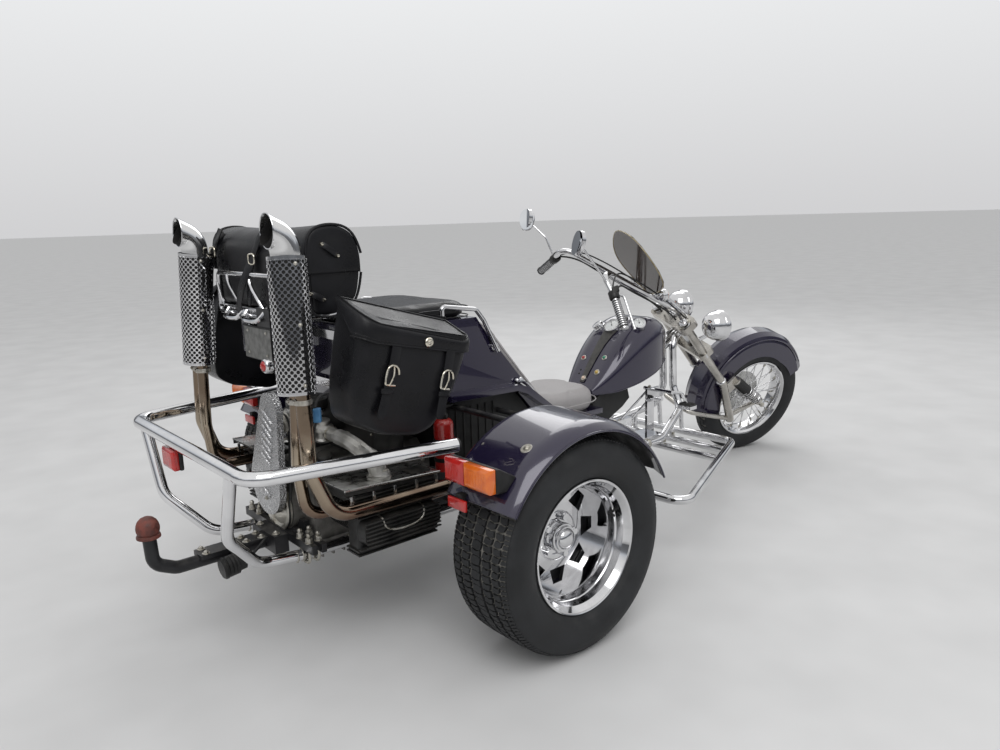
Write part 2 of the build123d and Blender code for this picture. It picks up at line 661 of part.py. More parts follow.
def bag_roof(grow, top, low):
    """The lid's cross-section carried along the bag: level at the hinge, falling to the outer side."""
    inner = 4 - bag_inner_y + (12 if grow < lid_gap + lid_wall else 4)
    with BuildPart() as roof:
        with BuildSketch(facing(bag_base, (bag_back - grow, 0, 0), (0, 1, 0), (1, 0, 0))):
            with BuildLine():
                Polyline((inner, low), (inner, top), (-bag_inner_y - 6, top),
                         (-bag_outer_y - grow, top - bag_fall - 13), (-bag_outer_y - grow, low), close=True)
            make_face()
        extrude(amount=bag_ahead - bag_back + 2 * grow)
        add(bag_prism(grow, low - 1, top + 1), mode=Mode.INTERSECT)
    return roof.part


with BuildPart() as rim_cut:
    with BuildSketch(facing(bag_base, (-100, 0, 0), (0, 1, 0), (1, 0, 0))):
        with BuildLine():
            Polyline((-bag_inner_y - bag_wall, bag_top), (-bag_outer_y - 5, bag_top - bag_fall),
                     (-bag_outer_y - 5, bag_top + 60), (-bag_inner_y - bag_wall, bag_top + 60), close=True)
        make_face()
    extrude(amount=500)
with BuildPart() as saddlebags:
    add(bag_shape(0, bag_top))
    add(bag_shape(bag_wall, bag_top + 20), mode=Mode.SUBTRACT)
    add(rim_cut.part, mode=Mode.SUBTRACT)
    add(block(bag_base, (-40, -bag_inner_y - bag_wall, bag_top - 20), (306, -bag_inner_y, bag_hinge[1]), 0))
    add(rod(bag_base, (-40, bag_hinge[0], bag_hinge[1]), (306, bag_hinge[0], bag_hinge[1]), hinge_radius))
    for x in (70, 200):
        add(block(bag_base, (x - 30, -bag_inner_y, bag_hinge[1] - 13), (x + 30, -bag_inner_y - 9, bag_hinge[1] + 12), 0),
            mode=Mode.SUBTRACT)
        add(rod(bag_base, (x - 32, bag_hinge[0], bag_hinge[1]), (x + 32, bag_hinge[0], bag_hinge[1]), hinge_radius))
    mirror(about=Plane.XZ)
saddlebags.part.label = "saddlebags"
export_step(saddlebags.part, "parts/saddlebags.step")

with BuildPart() as lid_right:
    add(bag_roof(lid_gap + lid_wall, bag_top + lid_rise, lid_low))
    add(bag_roof(lid_gap, bag_top + lid_rise - lid_wall, lid_low - 20), mode=Mode.SUBTRACT)
    add(block(bag_base, (-90, -bag_inner_y + 20, lid_low - 5), (360, -bag_inner_y - 12, bag_top + 13), 0),
        mode=Mode.SUBTRACT)
    for x in (70, 200):
        with BuildSketch(facing(bag_base, (x - 24, bag_hinge[0], bag_hinge[1]), (0, 1, 0), (1, 0, 0))):
            Circle(6)
            with Locations((0, 5)):
                Rectangle(12, 10)
        extrude(amount=48)
        with BuildSketch(facing(bag_base, (x - 30, bag_hinge[0], bag_hinge[1]), (0, 1, 0), (1, 0, 0))):
            Circle(hinge_radius + pin_gap)
        extrude(amount=60, mode=Mode.SUBTRACT)
lid_right.part.label = "saddlebag_lid_right"
export_step(lid_right.part, "parts/saddlebag_lid_right.step")

with BuildPart() as lid_left:
    add(lid_right.part.mirror(Plane.XZ))
lid_left.part.label = "saddlebag_lid_left"
export_step(lid_left.part, "parts/saddlebag_lid_left.step")

# Top bag: a D-shaped trunk across the stern, its lid hinged along the front edge
trunk_half = 325
trunk_top = 1206
trunk_hinge = (-396, 1214)
trunk_outline = [(-566, 1054), (-566, trunk_top), (-402, trunk_top), (-398, 1171), (-410, 1096), (-450, 1058),
                 (-500, 1046)]
with BuildPart() as top_bag:
    with BuildSketch(facing(body, (0, trunk_half, 0), (1, 0, 0), (0, -1, 0))):
        with BuildLine():
            Polyline(*trunk_outline, close=True)
        make_face()
    extrude(amount=2 * trunk_half)
    with BuildSketch(facing(body, (0, trunk_half - bag_wall, 0), (1, 0, 0), (0, -1, 0))):
        with BuildLine():
            Polyline((-562, 1058), (-562, trunk_top + 5), (-406, trunk_top + 5), (-402, 1172), (-414, 1098),
                     (-452, 1062), (-500, 1050), close=True)
        make_face()
    extrude(amount=2 * trunk_half - 2 * bag_wall, mode=Mode.SUBTRACT)
    for y in (-250, 0, 250):
        add(block(body, (-403, y - 20, 1190), (-397, y + 20, trunk_hinge[1]), 0))
    add(rod(body, (trunk_hinge[0], -270, trunk_hinge[1]), (trunk_hinge[0], 270, trunk_hinge[1]), hinge_radius))
top_bag.part.label = "top_bag"
export_step(top_bag.part, "parts/top_bag.step")

with BuildPart() as top_bag_lid:
    with BuildSketch(facing(body, (0, trunk_half + lid_gap + lid_wall, 0), (1, 0, 0), (0, -1, 0))):
        with BuildLine():
            Polyline((-575, 1168), (-575, 1262), (-552, 1298), (-475, 1307), (-424, 1276), (-400, 1225),
                     (-393, 1168), close=True)
        make_face()
    extrude(amount=2 * (trunk_half + lid_gap + lid_wall))
    with BuildSketch(facing(body, (0, trunk_half + lid_gap, 0), (1, 0, 0), (0, -1, 0))):
        with BuildLine():
            Polyline((-571, 1150), (-571, 1261), (-550, 1294), (-476, 1303), (-427, 1273), (-405, 1225),
                     (-380, 1224), (-380, 1150), close=True)
        make_face()
    extrude(amount=2 * (trunk_half + lid_gap), mode=Mode.SUBTRACT)
    add(block(body, (-397, -340, 1150), (-370, 340, 1220), 0), mode=Mode.SUBTRACT)
    for y in (-160, 160):
        with BuildSketch(facing(body, (trunk_hinge[0], y + 40, trunk_hinge[1]), (1, 0, 0), (0, -1, 0))):
            Circle(6)
            with Locations((-3, 7)):
                Rectangle(8, 14)
        extrude(amount=80)
        with BuildSketch(facing(body, (trunk_hinge[0], y + 50, trunk_hinge[1]), (1, 0, 0), (0, -1, 0))):
            Circle(hinge_radius + pin_gap)
        extrude(amount=100, mode=Mode.SUBTRACT)
top_bag_lid.part.label = "top_bag_lid"
export_step(top_bag_lid.part, "parts/top_bag_lid.step")

# Rack: two arms from the tub's back, the platform under the trunk and the ladder behind it
rack_z = 1034.7
ladder_x = -592
with BuildPart() as bag_rack:
    for side in (-1, 1):
        add(tube(body, [(tub_back - 12, side * 200, 730), (tub_back - 12, side * 200, rack_z),
                        (ladder_x, side * 200, rack_z)], 11, 30))
        add(tube(body, [(ladder_x, 0, rack_z - 4), (ladder_x, side * 268, rack_z - 4),
                        (ladder_x, side * 268, 1160), (ladder_x, 0, 1160)], 8, 16))
        add(block(body, (-470, side * 190 - 10, rack_z - 8), (-440, side * (bag_inner_y - seat_gap), rack_z + 4), 0))
        add(block(body, (-470, side * (bag_inner_y - seat_gap - 6), 860),
                  (-440, side * (bag_inner_y - seat_gap), rack_z + 4), 0))
    for x in (-545, -440):
        add(rod(body, (x, -200, rack_z), (x, 200, rack_z), 9))
    add(rod(body, (ladder_x, -268, 1050), (ladder_x, 268, 1050), 7))
    for z in (760, 930):
        add(block(body, (tub_back - 16, -230, z), (tub_back - seat_gap, 230, z + 30), 0))
bag_rack.part.label = "bag_rack"
export_step(bag_rack.part, "parts/bag_rack.step")

# Plate holder with a small round lamp, hung from the rack's rear tube
with BuildPart() as plate_holder:
    add(block(body, (-606, -133, 897), (-602, 64, 1001), 0))
    add(block(body, (-602, -120, 950), (-596, -30, 1060), 0))
    with BuildSketch(facing(body, (-596, -107, 888), (0, 1, 0), (-1, 0, 0))):
        Circle(22)
    extrude(amount=26)
    add(block(body, (-602, -119, 880), (-596, -95, 960), 0))
    add(bag_rack.part, mode=Mode.SUBTRACT)
plate_holder.part.label = "plate_holder"
export_step(plate_holder.part, "parts/plate_holder.step")

# Fire extinguisher on a bracket at the tray's right side
with BuildPart() as extinguisher:
    with BuildSketch(facing(body, (-82, -272, 470), (1, 0, 0), (0, 0, 1))):
        Circle(34)
    extrude(amount=180)
    fillet(extinguisher.faces().sort_by(Axis.Z)[-1].edges(), 20)
    with BuildSketch(facing(body, (-82, -272, 640), (1, 0, 0), (0, 0, 1))):
        Circle(10)
    extrude(amount=48)
    add(block(body, (-100, -252, 520), (-4, -232 - seat_gap, 560), 0))
extinguisher.part.label = "extinguisher"
export_step(extinguisher.part, "parts/extinguisher.step")

# Step frames: a bent tube each side with two cross tubes, hung under the lower rails
step_z = 240
step_radius = 18
step_tubes = [
    tube(body, [(1545, 0, step_z), (1550, -352, step_z), (722, -692, step_z), (706, -400, step_z),
                (700, -rail_y, step_z + 20)], step_radius, [55, 55, 60]),
    rod(body, (1400, 0, step_z), (1400, -402, step_z), step_radius - 2),
    rod(body, (1270, 0, step_z), (1270, -455, step_z), step_radius - 2),
    rod(body, (1400, -112, step_z), (1400, -112, 335), 11),
    rod(body, (1270, -160, step_z), (1270, -160, 290), 11),
    rod(body, (1545, -66, step_z), (1530, -66, 380), 11),
]
with BuildPart() as footboards:
    add([piece for tube_piece in step_tubes for piece in both_sides(tube_piece)])
    add(frame.part, mode=Mode.SUBTRACT)
footboards.part.label = "footboards"
export_step(footboards.part, "parts/footboards.step")

# Foot controls: an upright bracket on each lower rail, a cross shaft, a pedal and two rods to the rear
with BuildPart() as pedals:
    add(block(body, (1190, -130, 300), (1240, -118, 520), 0))
    add(rod(body, (1244, -70, 510), (1244, -230, 510), 9))
    add(rod(body, (1275, -70, 462), (1275, -150, 462), 9))
    add(block(body, (1236, -130, 455), (1280, -118, 520), 0))
    add(rod(body, (1244, -96, 510), (1018, -96, 382), 5))
    add(rod(body, (1275, -82, 462), (1080, -82, 346), 5))
    add(tube(body, [(1244, -222, 510), (1300, -240, 500), (1330, -250, 440)], 7, 20))
    add(block(body, (1300, -290, 425), (1352, -215, 441), 6))
    add(block(body, (990, -110, 300), (1110, -70, 400), 8))
    add(block(body, (1000, -rail_y, 300), (1240, -70, 312), 0))
    mirror(about=Plane.XZ)
    add([frame.part, footboards.part, tank.part], mode=Mode.SUBTRACT)
pedals.part.label = "pedals"
export_step(pedals.part, "parts/pedals.step")

# Fork: stem, two clamps, kinked legs, leading links, the brace loop behind the wheel, springs and axle
leg_side = 112
leg_radius = 21
clamp_top = 34
wheel_point = (85, 0, -763)
front_mirror = Plane(origin=front.origin, z_dir=front.y_dir)


def fork_tube(points, radius, bend):
    """A tube whose points are given ahead of the steering axis, to the left and up along it."""
    return tube(front, [fork_point(*point) for point in points], radius, bend)


def fork_block(low, high, edge=0):
    """A box square to the steering axis."""
    size = [high[i] - low[i] for i in range(3)]
    with BuildPart() as box:
        with BuildSketch(fork_facing((low[0] + high[0]) / 2, (low[1] + high[1]) / 2, low[2])):
            if edge:
                RectangleRounded(size[0], size[1], edge)
            else:
                Rectangle(size[0], size[1])
        extrude(amount=size[2])
    return box.part


def fork_pair(piece):
    """A piece of the front end and its mirror image."""
    return [piece, piece.mirror(front_mirror)]


leg = fork_tube([(-24, -leg_side, 28), (-24, -leg_side, -457), (-100, -leg_side, -690)], leg_radius, 70)
loop_half = fork_tube([(-96, -leg_side, -680), (-150, -leg_side, -600), (-262, -leg_side, -420), (-262, 0, -420)],
                      12, [40, 50])
link = fork_tube([(-98, -leg_side + 32, -690), (85, -leg_side + 32, -763)], 13, 0)
link_pin = fork_tube([(-98, -leg_side, -690), (-98, -leg_side + 22, -690)], 11, 0)
spring = fork_tube([(41, -leg_side, -495), (88, -leg_side, -735)], 25, 0)
spring_arm = fork_block((-30, -leg_side - 6, -530), (50, -leg_side + 6, -470))
with BuildPart() as fork:
    add(fork_tube([(0, 0, -210), (0, 0, 36)], stem_radius, 0))
    add(fork_block((-56, -leg_side - 26, -212), (28, leg_side + 26, -182), 24))
    add(fork_block((-62, -leg_side - 30, -3), (30, leg_side + 30, clamp_top), 24))
    for piece in (leg, loop_half, link, link_pin, spring, spring_arm):
        add(fork_pair(piece))
    add(fork_tube([(85, -leg_side - 22, -763), (85, leg_side + 22, -763)], 9, 0))
fork.part.label = "fork"
export_step(fork.part, "parts/fork.step")

# Front fender: a deep valanced arc, bolted to the legs
front_hub = fork_point(*wheel_point)
fender_centre = (front_hub[0] - 32, 0, front_hub[2] + 43)
fender_half = 82
with BuildPart() as front_fender:
    with BuildSketch(facing(front, fender_centre, (0, 1, 0), (1, 0, 0))):
        with BuildLine():
            Polyline((-fender_half, 225), (-fender_half, 305), (-66, 336), (-34, 350), (34, 350), (66, 336),
                     (fender_half, 305), (fender_half, 225), (fender_half - 3, 225), (fender_half - 3, 304),
                     (64, 333), (33, 347), (-33, 347), (-64, 333), (-fender_half + 3, 304), (-fender_half + 3, 225),
                     close=True)
        make_face()
    revolve(axis=Axis(place(front, *fender_centre), place(front, 0, 1, 0) - place(front, 0, 0, 0)),
            revolution_arc=360)
    with BuildSketch(facing(front, (front_hub[0], 200, front_hub[2]), (1, 0, 0), (0, -1, 0))):
        with BuildLine():
            front_edge = (600 * cos(radians(34)), 600 * sin(radians(34)))
            back_edge = (600 * cos(radians(190)), 600 * sin(radians(190)))
            Polyline((0, 0), front_edge, (600, 600), (-600, 600), back_edge, close=True)
        make_face()
        Circle(246, mode=Mode.SUBTRACT)
    extrude(amount=400, mode=Mode.INTERSECT)
    add(fork_pair(fork_block((-66, -leg_side + 10, -560), (-42, -fender_half + 2, -530))))
    add(fork.part, mode=Mode.SUBTRACT)
front_fender.part.label = "front_fender"
export_step(front_fender.part, "parts/front_fender.step")

# Twin headlamps: round shells that look level ahead, each on a stalk from its leg
lamp_radius = 71
lamp_at = fork_point(95, -149, -80)
with BuildPart() as lamp_shell:
    with Locations(place(front, *lamp_at)):
        Sphere(lamp_radius)
    with BuildSketch(facing(front, (lamp_at[0] + 12, lamp_at[1], lamp_at[2]), (0, 1, 0), (1, 0, 0))):
        Circle(100)
    extrude(amount=90, mode=Mode.SUBTRACT)
    with BuildSketch(facing(front, (lamp_at[0] + 6, lamp_at[1], lamp_at[2]), (0, 1, 0), (1, 0, 0))):
        Circle(lamp_radius + 2)
    extrude(amount=20)
    add(fork_tube([(-10, -leg_side, -100), (80, -145, -100)], 11, 0))
    add(fork.part, mode=Mode.SUBTRACT)
with BuildPart() as headlamps:
    add(fork_pair(lamp_shell.part))
headlamps.part.label = "headlamps"
export_step(headlamps.part, "parts/headlamps.step")

# Handlebar: two swept bars from the upper clamp, with grips, levers and their perches
bar_side = [(0, -60, 20), (0, -60, 90), (-220, -172, 655), (-265, -274, 573), (-334, -386, 504)]
with BuildPart() as handlebar:
    add(fork_pair(fork_tube(bar_side, 13, [50, 50, 40])))
    add(fork_pair(fork_tube([(-272, -286, 565), (-335, -388, 503)], 18, 0)))
    add(fork_pair(fork_tube([(-250, -262, 585), (-230, -280, 548), (-302, -398, 472)], 6, 20)))
    add(fork_tube([(-8, -66, 110), (-8, 66, 110)], 9, 0))
    add(fork.part, mode=Mode.SUBTRACT)
handlebar.part.label = "handlebar"
export_step(handlebar.part, "parts/handlebar.step")

# Windshield: a broad smoked blade that leans a little more than the fork, on two stays from the upper clamp
shield_foot = (-50, 0, 250)
shield_lean = 10
shield_half = 196
stay_side = 92
shield_edge = [(0, -12), (62, 12), (126, 58), (174, 96), (shield_half, 140), (188, 200), (150, 262), (108, 312),
               (60, 342), (0, 350)]
with BuildPart() as windshield:
    lean = radians(rake - shield_lean)
    with BuildSketch(facing(front, fork_point(*shield_foot), (0, 1, 0), (cos(lean), 0, sin(lean)))):
        with BuildLine():
            Polyline(*shield_edge, *[(-side, up) for side, up in reversed(shield_edge[1:-1])], close=True)
        make_face()
    extrude(amount=4)
    for side in (-1, 1):
        add(fork_tube([(14, side * stay_side, clamp_top + seat_gap), (14, side * stay_side, 72),
                       (-32, side * stay_side, 300), (-21, side * stay_side, 362)], 6, 60))
windshield.part.label = "windshield"
export_step(windshield.part, "parts/windshield.step")

# Mirrors on stems from the bars' bends, the right one stood higher, and round indicators on the stays
mirror_stems = [
    [(-262, 262, 590), (-230, 300, 680), (-233, 386, 768)],
    [(-244, -226, 612), (-238, -214, 720), (-240, -215, 857)],
]
indicator_at = (-33, 112, 262)
with BuildPart() as mirrors:
    for stem in mirror_stems:
        add(fork_tube(stem, 5, 30))
        mirror_at = fork_point(*stem[2])
        for normal, thick in (((-1, 0, 0.1), 10), ((1, 0, -0.1), 8)):
            with BuildSketch(facing(front, mirror_at, (0, 1, 0), normal)):
                Ellipse(36, 52)
            extrude(amount=thick)
    for side in (-1, 1):
        ahead, out, up = indicator_at
        place_at = fork_point(ahead, side * out, up)
        for normal, thick in (((-1, 0, 0), 12), ((1, 0, 0), 12)):
            with BuildSketch(facing(front, place_at, (0, 1, 0), normal)):
                Circle(28)
            extrude(amount=thick, taper=8)
        add(fork_tube([(-25, side * stay_side, up), (ahead, side * out, up)], 5, 0))
    add([handlebar.part, windshield.part], mode=Mode.SUBTRACT)
mirrors.part.label = "mirrors"
export_step(mirrors.part, "parts/mirrors.step")

# Rear wheels: deep chrome rims with a windowed disc, and wide tyres. Profiles give radius and
# distance outboard of the wheel's middle
rim_lip = 207.5
rim_half = 114
rim_profile = [
    (196, -100), (rim_lip, -107), (rim_lip, -rim_half), (200, -rim_half), (186, -100), (172, -70), (172, 48),
    (186, 96), (200, rim_half), (rim_lip, rim_half), (rim_lip, 107), (196, 100),
]
tyre_profile = [
    (196 + seat_gap, -96), (208.5, -103), (214, -113), (240, -131), (275, -rear_tyre_half), (305, -131), (326, -117), (337, -98),
    (rear_tyre_radius, -60), (rear_tyre_radius, 60), (337, 98), (326, 117), (305, 131), (275, rear_tyre_half),
    (240, 131), (214, 113), (208.5, 103), (196 + seat_gap, 96),
]


def wheel_plane(side):
    """A wheel's own plane: its normal points outboard."""
    return facing(body, (0, side * rear_wheel_y, rear_tyre_radius), (1, 0, 0), (0, side, 0))


def turned_section(base, profile):
    """A solid of revolution about the base plane's normal, from (radius, height) points."""
    across = Plane(origin=base.origin, x_dir=base.x_dir, z_dir=-base.y_dir)
    with BuildPart() as turned:
        with BuildSketch(across):
            with BuildLine():
                Polyline(*profile, close=True)
            make_face()
        revolve(axis=Axis(base.origin, base.z_dir), revolution_arc=360)
    return turned.part


def rear_rim(side):
    """Barrel, windowed disc, hub cap, nuts and brake drum of one wheel."""
    base = wheel_plane(side)
    with BuildPart() as rim:
        add(turned_section(base, rim_profile))
        with BuildSketch(base.offset(-28)):
            Circle(176)
        extrude(amount=14)
        with BuildSketch(base.offset(-40)):
            with PolarLocations(132, 8):
                Trapezoid(66, 50, 105, rotation=90)
        extrude(amount=40, mode=Mode.SUBTRACT)
        with BuildSketch(base.offset(-131)):
            Circle(96)
        extrude(amount=104)
        with BuildSketch(base.offset(-20)):
            Circle(44)
        extrude(amount=46, taper=6)
        with BuildSketch(base.offset(-14)):
            with PolarLocations(62, 5):
                RegularPolygon(11, 6)
        extrude(amount=20)
        with BuildSketch(base.offset(-140)):
            Circle(20 + pin_gap)
        extrude(amount=146, mode=Mode.SUBTRACT)
    return rim.part


with BuildPart() as rear_rim_right:
    add(rear_rim(-1))
rear_rim_right.part.label = "rear_rim_right"
export_step(rear_rim_right.part, "parts/rear_rim_right.step")

with BuildPart() as rear_rim_left:
    add(rear_rim(1))
rear_rim_left.part.label = "rear_rim_left"
export_step(rear_rim_left.part, "parts/rear_rim_left.step")

with BuildPart() as rear_tyre_right:
    add(turned_section(wheel_plane(-1), tyre_profile))
rear_tyre_right.part.label = "rear_tyre_right"
export_step(rear_tyre_right.part, "parts/rear_tyre_right.step")

with BuildPart() as rear_tyre_left:
    add(turned_section(wheel_plane(1), tyre_profile))
rear_tyre_left.part.label = "rear_tyre_left"
export_step(rear_tyre_left.part, "parts/rear_tyre_left.step")

# Front wheel: a spoked rim on its axle and a narrow tyre
front_wheel = facing(front, front_hub, (1, 0, 0), (0, 1, 0))
front_rim_profile = [
    (206, -38), (219, -44), (219, -50), (213, -50), (203, -40), (196, -20), (196, 20), (203, 40), (213, 50),
    (219, 50), (219, 44), (206, 38),
]
front_tyre_profile = [
    (206 + seat_gap, -34), (220.5, -41), (226, -50), (245, -60), (270, -front_tyre_half), (295, -58), (312, -38),
    (front_tyre_radius, -12), (front_tyre_radius, 12), (312, 38), (295, 58), (270, front_tyre_half), (245, 60),
    (226, 50), (220.5, 41), (206 + seat_gap, 34),
]
spin_axis = Axis(front_wheel.origin, front_wheel.z_dir)
spokes = []
for height, turn in ((-35, 38), (-35, -38), (35, 38), (35, -38)):
    spoke_foot = (34 * cos(radians(turn)), 34 * sin(radians(turn)), height)
    spoke = rod(front_wheel, spoke_foot, (200, 0, height * 0.3), 2.2)
    spokes += [spoke.rotate(spin_axis, step * 40 + (10 if height > 0 else 0) + turn * 0.25) for step in range(9)]

with BuildPart() as front_rim:
    add(turned_section(front_wheel, front_rim_profile))
    with BuildSketch(front_wheel.offset(-46)):
        Circle(26)
    extrude(amount=92)
    for offset in (-38, 32):
        with BuildSketch(front_wheel.offset(offset)):
            Circle(38)
        extrude(amount=6)
    add(spokes)
    with BuildSketch(front_wheel.offset(-60)):
        Circle(9 + pin_gap)
    extrude(amount=120, mode=Mode.SUBTRACT)
front_rim.part.label = "front_rim"
export_step(front_rim.part, "parts/front_rim.step")

with BuildPart() as front_tyre:
    add(turned_section(front_wheel, front_tyre_profile))
front_tyre.part.label = "front_tyre"
export_step(front_tyre.part, "parts/front_tyre.step")
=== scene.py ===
import bpy
import bmesh
from math import cos, sin, pi, radians, sqrt
from mathutils import Vector, Matrix


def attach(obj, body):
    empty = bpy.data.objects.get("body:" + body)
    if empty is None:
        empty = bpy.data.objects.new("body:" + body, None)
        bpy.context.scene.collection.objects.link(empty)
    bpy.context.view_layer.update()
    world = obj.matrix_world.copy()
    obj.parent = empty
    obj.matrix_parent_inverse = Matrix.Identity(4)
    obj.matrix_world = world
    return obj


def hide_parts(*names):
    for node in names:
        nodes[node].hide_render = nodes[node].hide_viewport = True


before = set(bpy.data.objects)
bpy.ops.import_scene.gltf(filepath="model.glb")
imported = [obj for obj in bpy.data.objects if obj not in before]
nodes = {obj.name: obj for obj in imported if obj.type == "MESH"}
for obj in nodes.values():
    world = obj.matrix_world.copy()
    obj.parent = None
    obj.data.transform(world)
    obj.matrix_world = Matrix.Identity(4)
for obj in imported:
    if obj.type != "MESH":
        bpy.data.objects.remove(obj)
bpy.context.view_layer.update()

# Camera: the photograph's own place and lens, behind the trike on its right side
# and a little above the handlebar.
camera_data = bpy.data.cameras.new("camera")
camera = bpy.data.objects.new("camera", camera_data)
bpy.context.collection.objects.link(camera)
eye = Vector((-2.345, -2.36, 1.31))
yaw, pitch, roll = radians(49.34), radians(-11.3), radians(-1.69)
ahead = Vector((cos(yaw) * cos(pitch), sin(yaw) * cos(pitch), sin(pitch)))
level = Vector((sin(yaw), -cos(yaw), 0))
lift = level.cross(ahead)
rightward = cos(roll) * level + sin(roll) * lift
upward = -sin(roll) * level + cos(roll) * lift
camera.matrix_world = Matrix((
    (rightward.x, upward.x, -ahead.x, eye.x),
    (rightward.y, upward.y, -ahead.y, eye.y),
    (rightward.z, upward.z, -ahead.z, eye.z),
    (0, 0, 0, 1),
))
camera_data.lens = 28.25
camera_data.sensor_width = 36
bpy.context.scene.camera = camera
bpy.context.scene.view_settings.view_transform = "Standard"

# Main frame: chromed steel tubes, two lower rails that run the whole length, twin down tubes and
# the steering head. The tubes are the drawn solids; they get their plating and the rails' collars.
ORIGIN, UP, AFT = Vector((0, 0, 0)), Vector((0, 0, 1)), Vector((-1, 0, 0))


def P(x, y, z):
    """A place given in millimetres ahead of the rear axle, to the left and up, in the row frame."""
    return Vector((x - 730, y, z)) / 1000


def clear():
    """Nothing stays selected, so that the next operator acts on its own piece alone."""
    if bpy.context.object and bpy.context.object.mode != "OBJECT":
        bpy.ops.object.mode_set(mode="OBJECT")
    bpy.ops.object.select_all(action="DESELECT")


def chosen(made):
    """Selects one piece alone and makes it the active one."""
    clear()
    made.select_set(True)
    bpy.context.view_layer.objects.active = made


def settled(made):
    """Turns the faces outwards and leaves edit mode."""
    bpy.ops.mesh.select_all(action="SELECT")
    bpy.ops.mesh.normals_make_consistent(inside=False)
    bpy.ops.object.mode_set(mode="OBJECT")
    return made


def angles(count):
    """Equal steps round a full circle."""
    return [2 * pi * k / count for k in range(count)]


def keep(made, name, finish, body="body", angle=35):
    """Names a finished piece, puts its place into its mesh, and gives it its finish and its body."""
    made.name = name
    chosen(made)
    if made.type == "CURVE":
        bpy.ops.object.convert(target="MESH")
        made = bpy.context.object
    bpy.ops.object.transform_apply(location=True, rotation=True, scale=True)
    bpy.ops.object.shade_smooth_by_angle(angle=radians(angle))
    if finish:
        made.data.materials.clear()
        made.data.materials.append(finish)
    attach(made, body)
    made.select_set(False)
    return made


def modify(made, kind, **settings):
    """Adds one modifier and applies it."""
    chosen(made)
    modifier = made.modifiers.new(kind, kind)
    for key, value in settings.items():
        setattr(modifier, key, value)
    bpy.ops.object.modifier_apply(modifier=modifier.name)
    return made


def traced(places):
    """One vertex extruded along a row of places, left in edit mode with all of it selected."""
    clear()
    bpy.ops.mesh.primitive_plane_add(size=0.01)
    made = bpy.context.object
    bpy.ops.object.mode_set(mode="EDIT")
    bpy.ops.mesh.select_mode(type="VERT")
    bpy.ops.mesh.merge(type="CENTER")
    bpy.ops.transform.translate(value=places[0])
    for here, there in zip(places, places[1:]):
        bpy.ops.mesh.extrude_region_move(TRANSFORM_OT_translate={"value": there - here})
    bpy.ops.mesh.select_all(action="SELECT")
    return made


def picked(made, test):
    """Enters edit mode with only the faces selected that a test names."""
    chosen(made)
    bpy.ops.object.mode_set(mode="EDIT")
    bpy.ops.mesh.select_mode(type="FACE")
    bpy.ops.mesh.select_all(action="DESELECT")
    shape = bmesh.from_edit_mesh(made.data)
    for face in shape.faces:
        if test(face):
            face.select_set(True)
    bmesh.update_edit_mesh(made.data)
    return made


def turned(profile, centre, axis, steps=48):
    """A row of (radius, height) places in millimetres, spun about an axis into a round piece."""
    axis = axis.normalized()
    out = axis.orthogonal().normalized()
    made = traced([centre + out * r / 1000 + axis * h / 1000 for r, h in profile])
    bpy.ops.mesh.spin(steps=steps, angle=2 * pi, center=centre, axis=axis)
    bpy.ops.mesh.select_all(action="SELECT")
    bpy.ops.mesh.remove_doubles(threshold=0.00001)
    return settled(made)


def pushed(outline, offset, edge=0.0, segments=3):
    """A closed outline of places, filled, extruded by an offset and rounded along its edges."""
    made = traced(outline + outline[:1])
    bpy.ops.mesh.remove_doubles(threshold=0.00001)
    bpy.ops.mesh.edge_face_add()
    bpy.ops.mesh.extrude_region_move(TRANSFORM_OT_translate={"value": offset})
    settled(made)
    if edge:
        modify(made, "BEVEL", width=edge / 1000, segments=segments, limit_method="ANGLE",
               angle_limit=radians(30))
    return made


def pipe(places, radius, closed=False, fine=3, smooth=True):
    """A round bar or tube on one smooth line, as a mesh; radius in millimetres."""
    data = bpy.data.curves.new("line", "CURVE")
    data.dimensions = "3D"
    line = data.splines.new("NURBS")
    line.points.add(len(places) - 1)
    for point, place in zip(line.points, places):
        point.co = (*place, 1)
    line.order_u = 3 if smooth else 2
    line.use_endpoint_u = not closed
    line.use_cyclic_u = closed
    line.resolution_u = 6
    data.bevel_depth = radius / 1000
    data.bevel_resolution = fine
    data.use_fill_caps = not closed
    made = bpy.data.objects.new("line", data)
    bpy.context.collection.objects.link(made)
    chosen(made)
    bpy.ops.object.convert(target="MESH")
    return bpy.context.object


def joined(pieces):
    """Several pieces made one."""
    clear()
    for made in pieces:
        made.select_set(True)
    bpy.context.view_layer.objects.active = pieces[0]
    bpy.ops.object.join()
    return bpy.context.object


def copied(pattern, places):
    """Copies of a piece that stands on the origin and looks along +Z, each at its place, looking along
    its own direction, made one; the pattern itself goes."""
    made = []
    for place, facing in places:
        one = pattern.copy()
        one.data = pattern.data.copy()
        one.data.transform(Matrix.Translation(place) @ Vector(facing).to_track_quat("Z",
                                                                                    "Y").to_matrix().to_4x4())
        bpy.context.collection.objects.link(one)
        made.append(one)
    bpy.data.objects.remove(pattern)
    return joined(made)


def mirrored(made):
    """A piece and its mirror image across the middle of the trike, as one mesh."""
    clear()
    other = made.copy()
    other.data = made.data.copy()
    other.data.transform(Matrix.Scale(-1, 4, (0, 1, 0)))
    other.data.flip_normals()
    bpy.context.collection.objects.link(other)
    return joined([made, other])


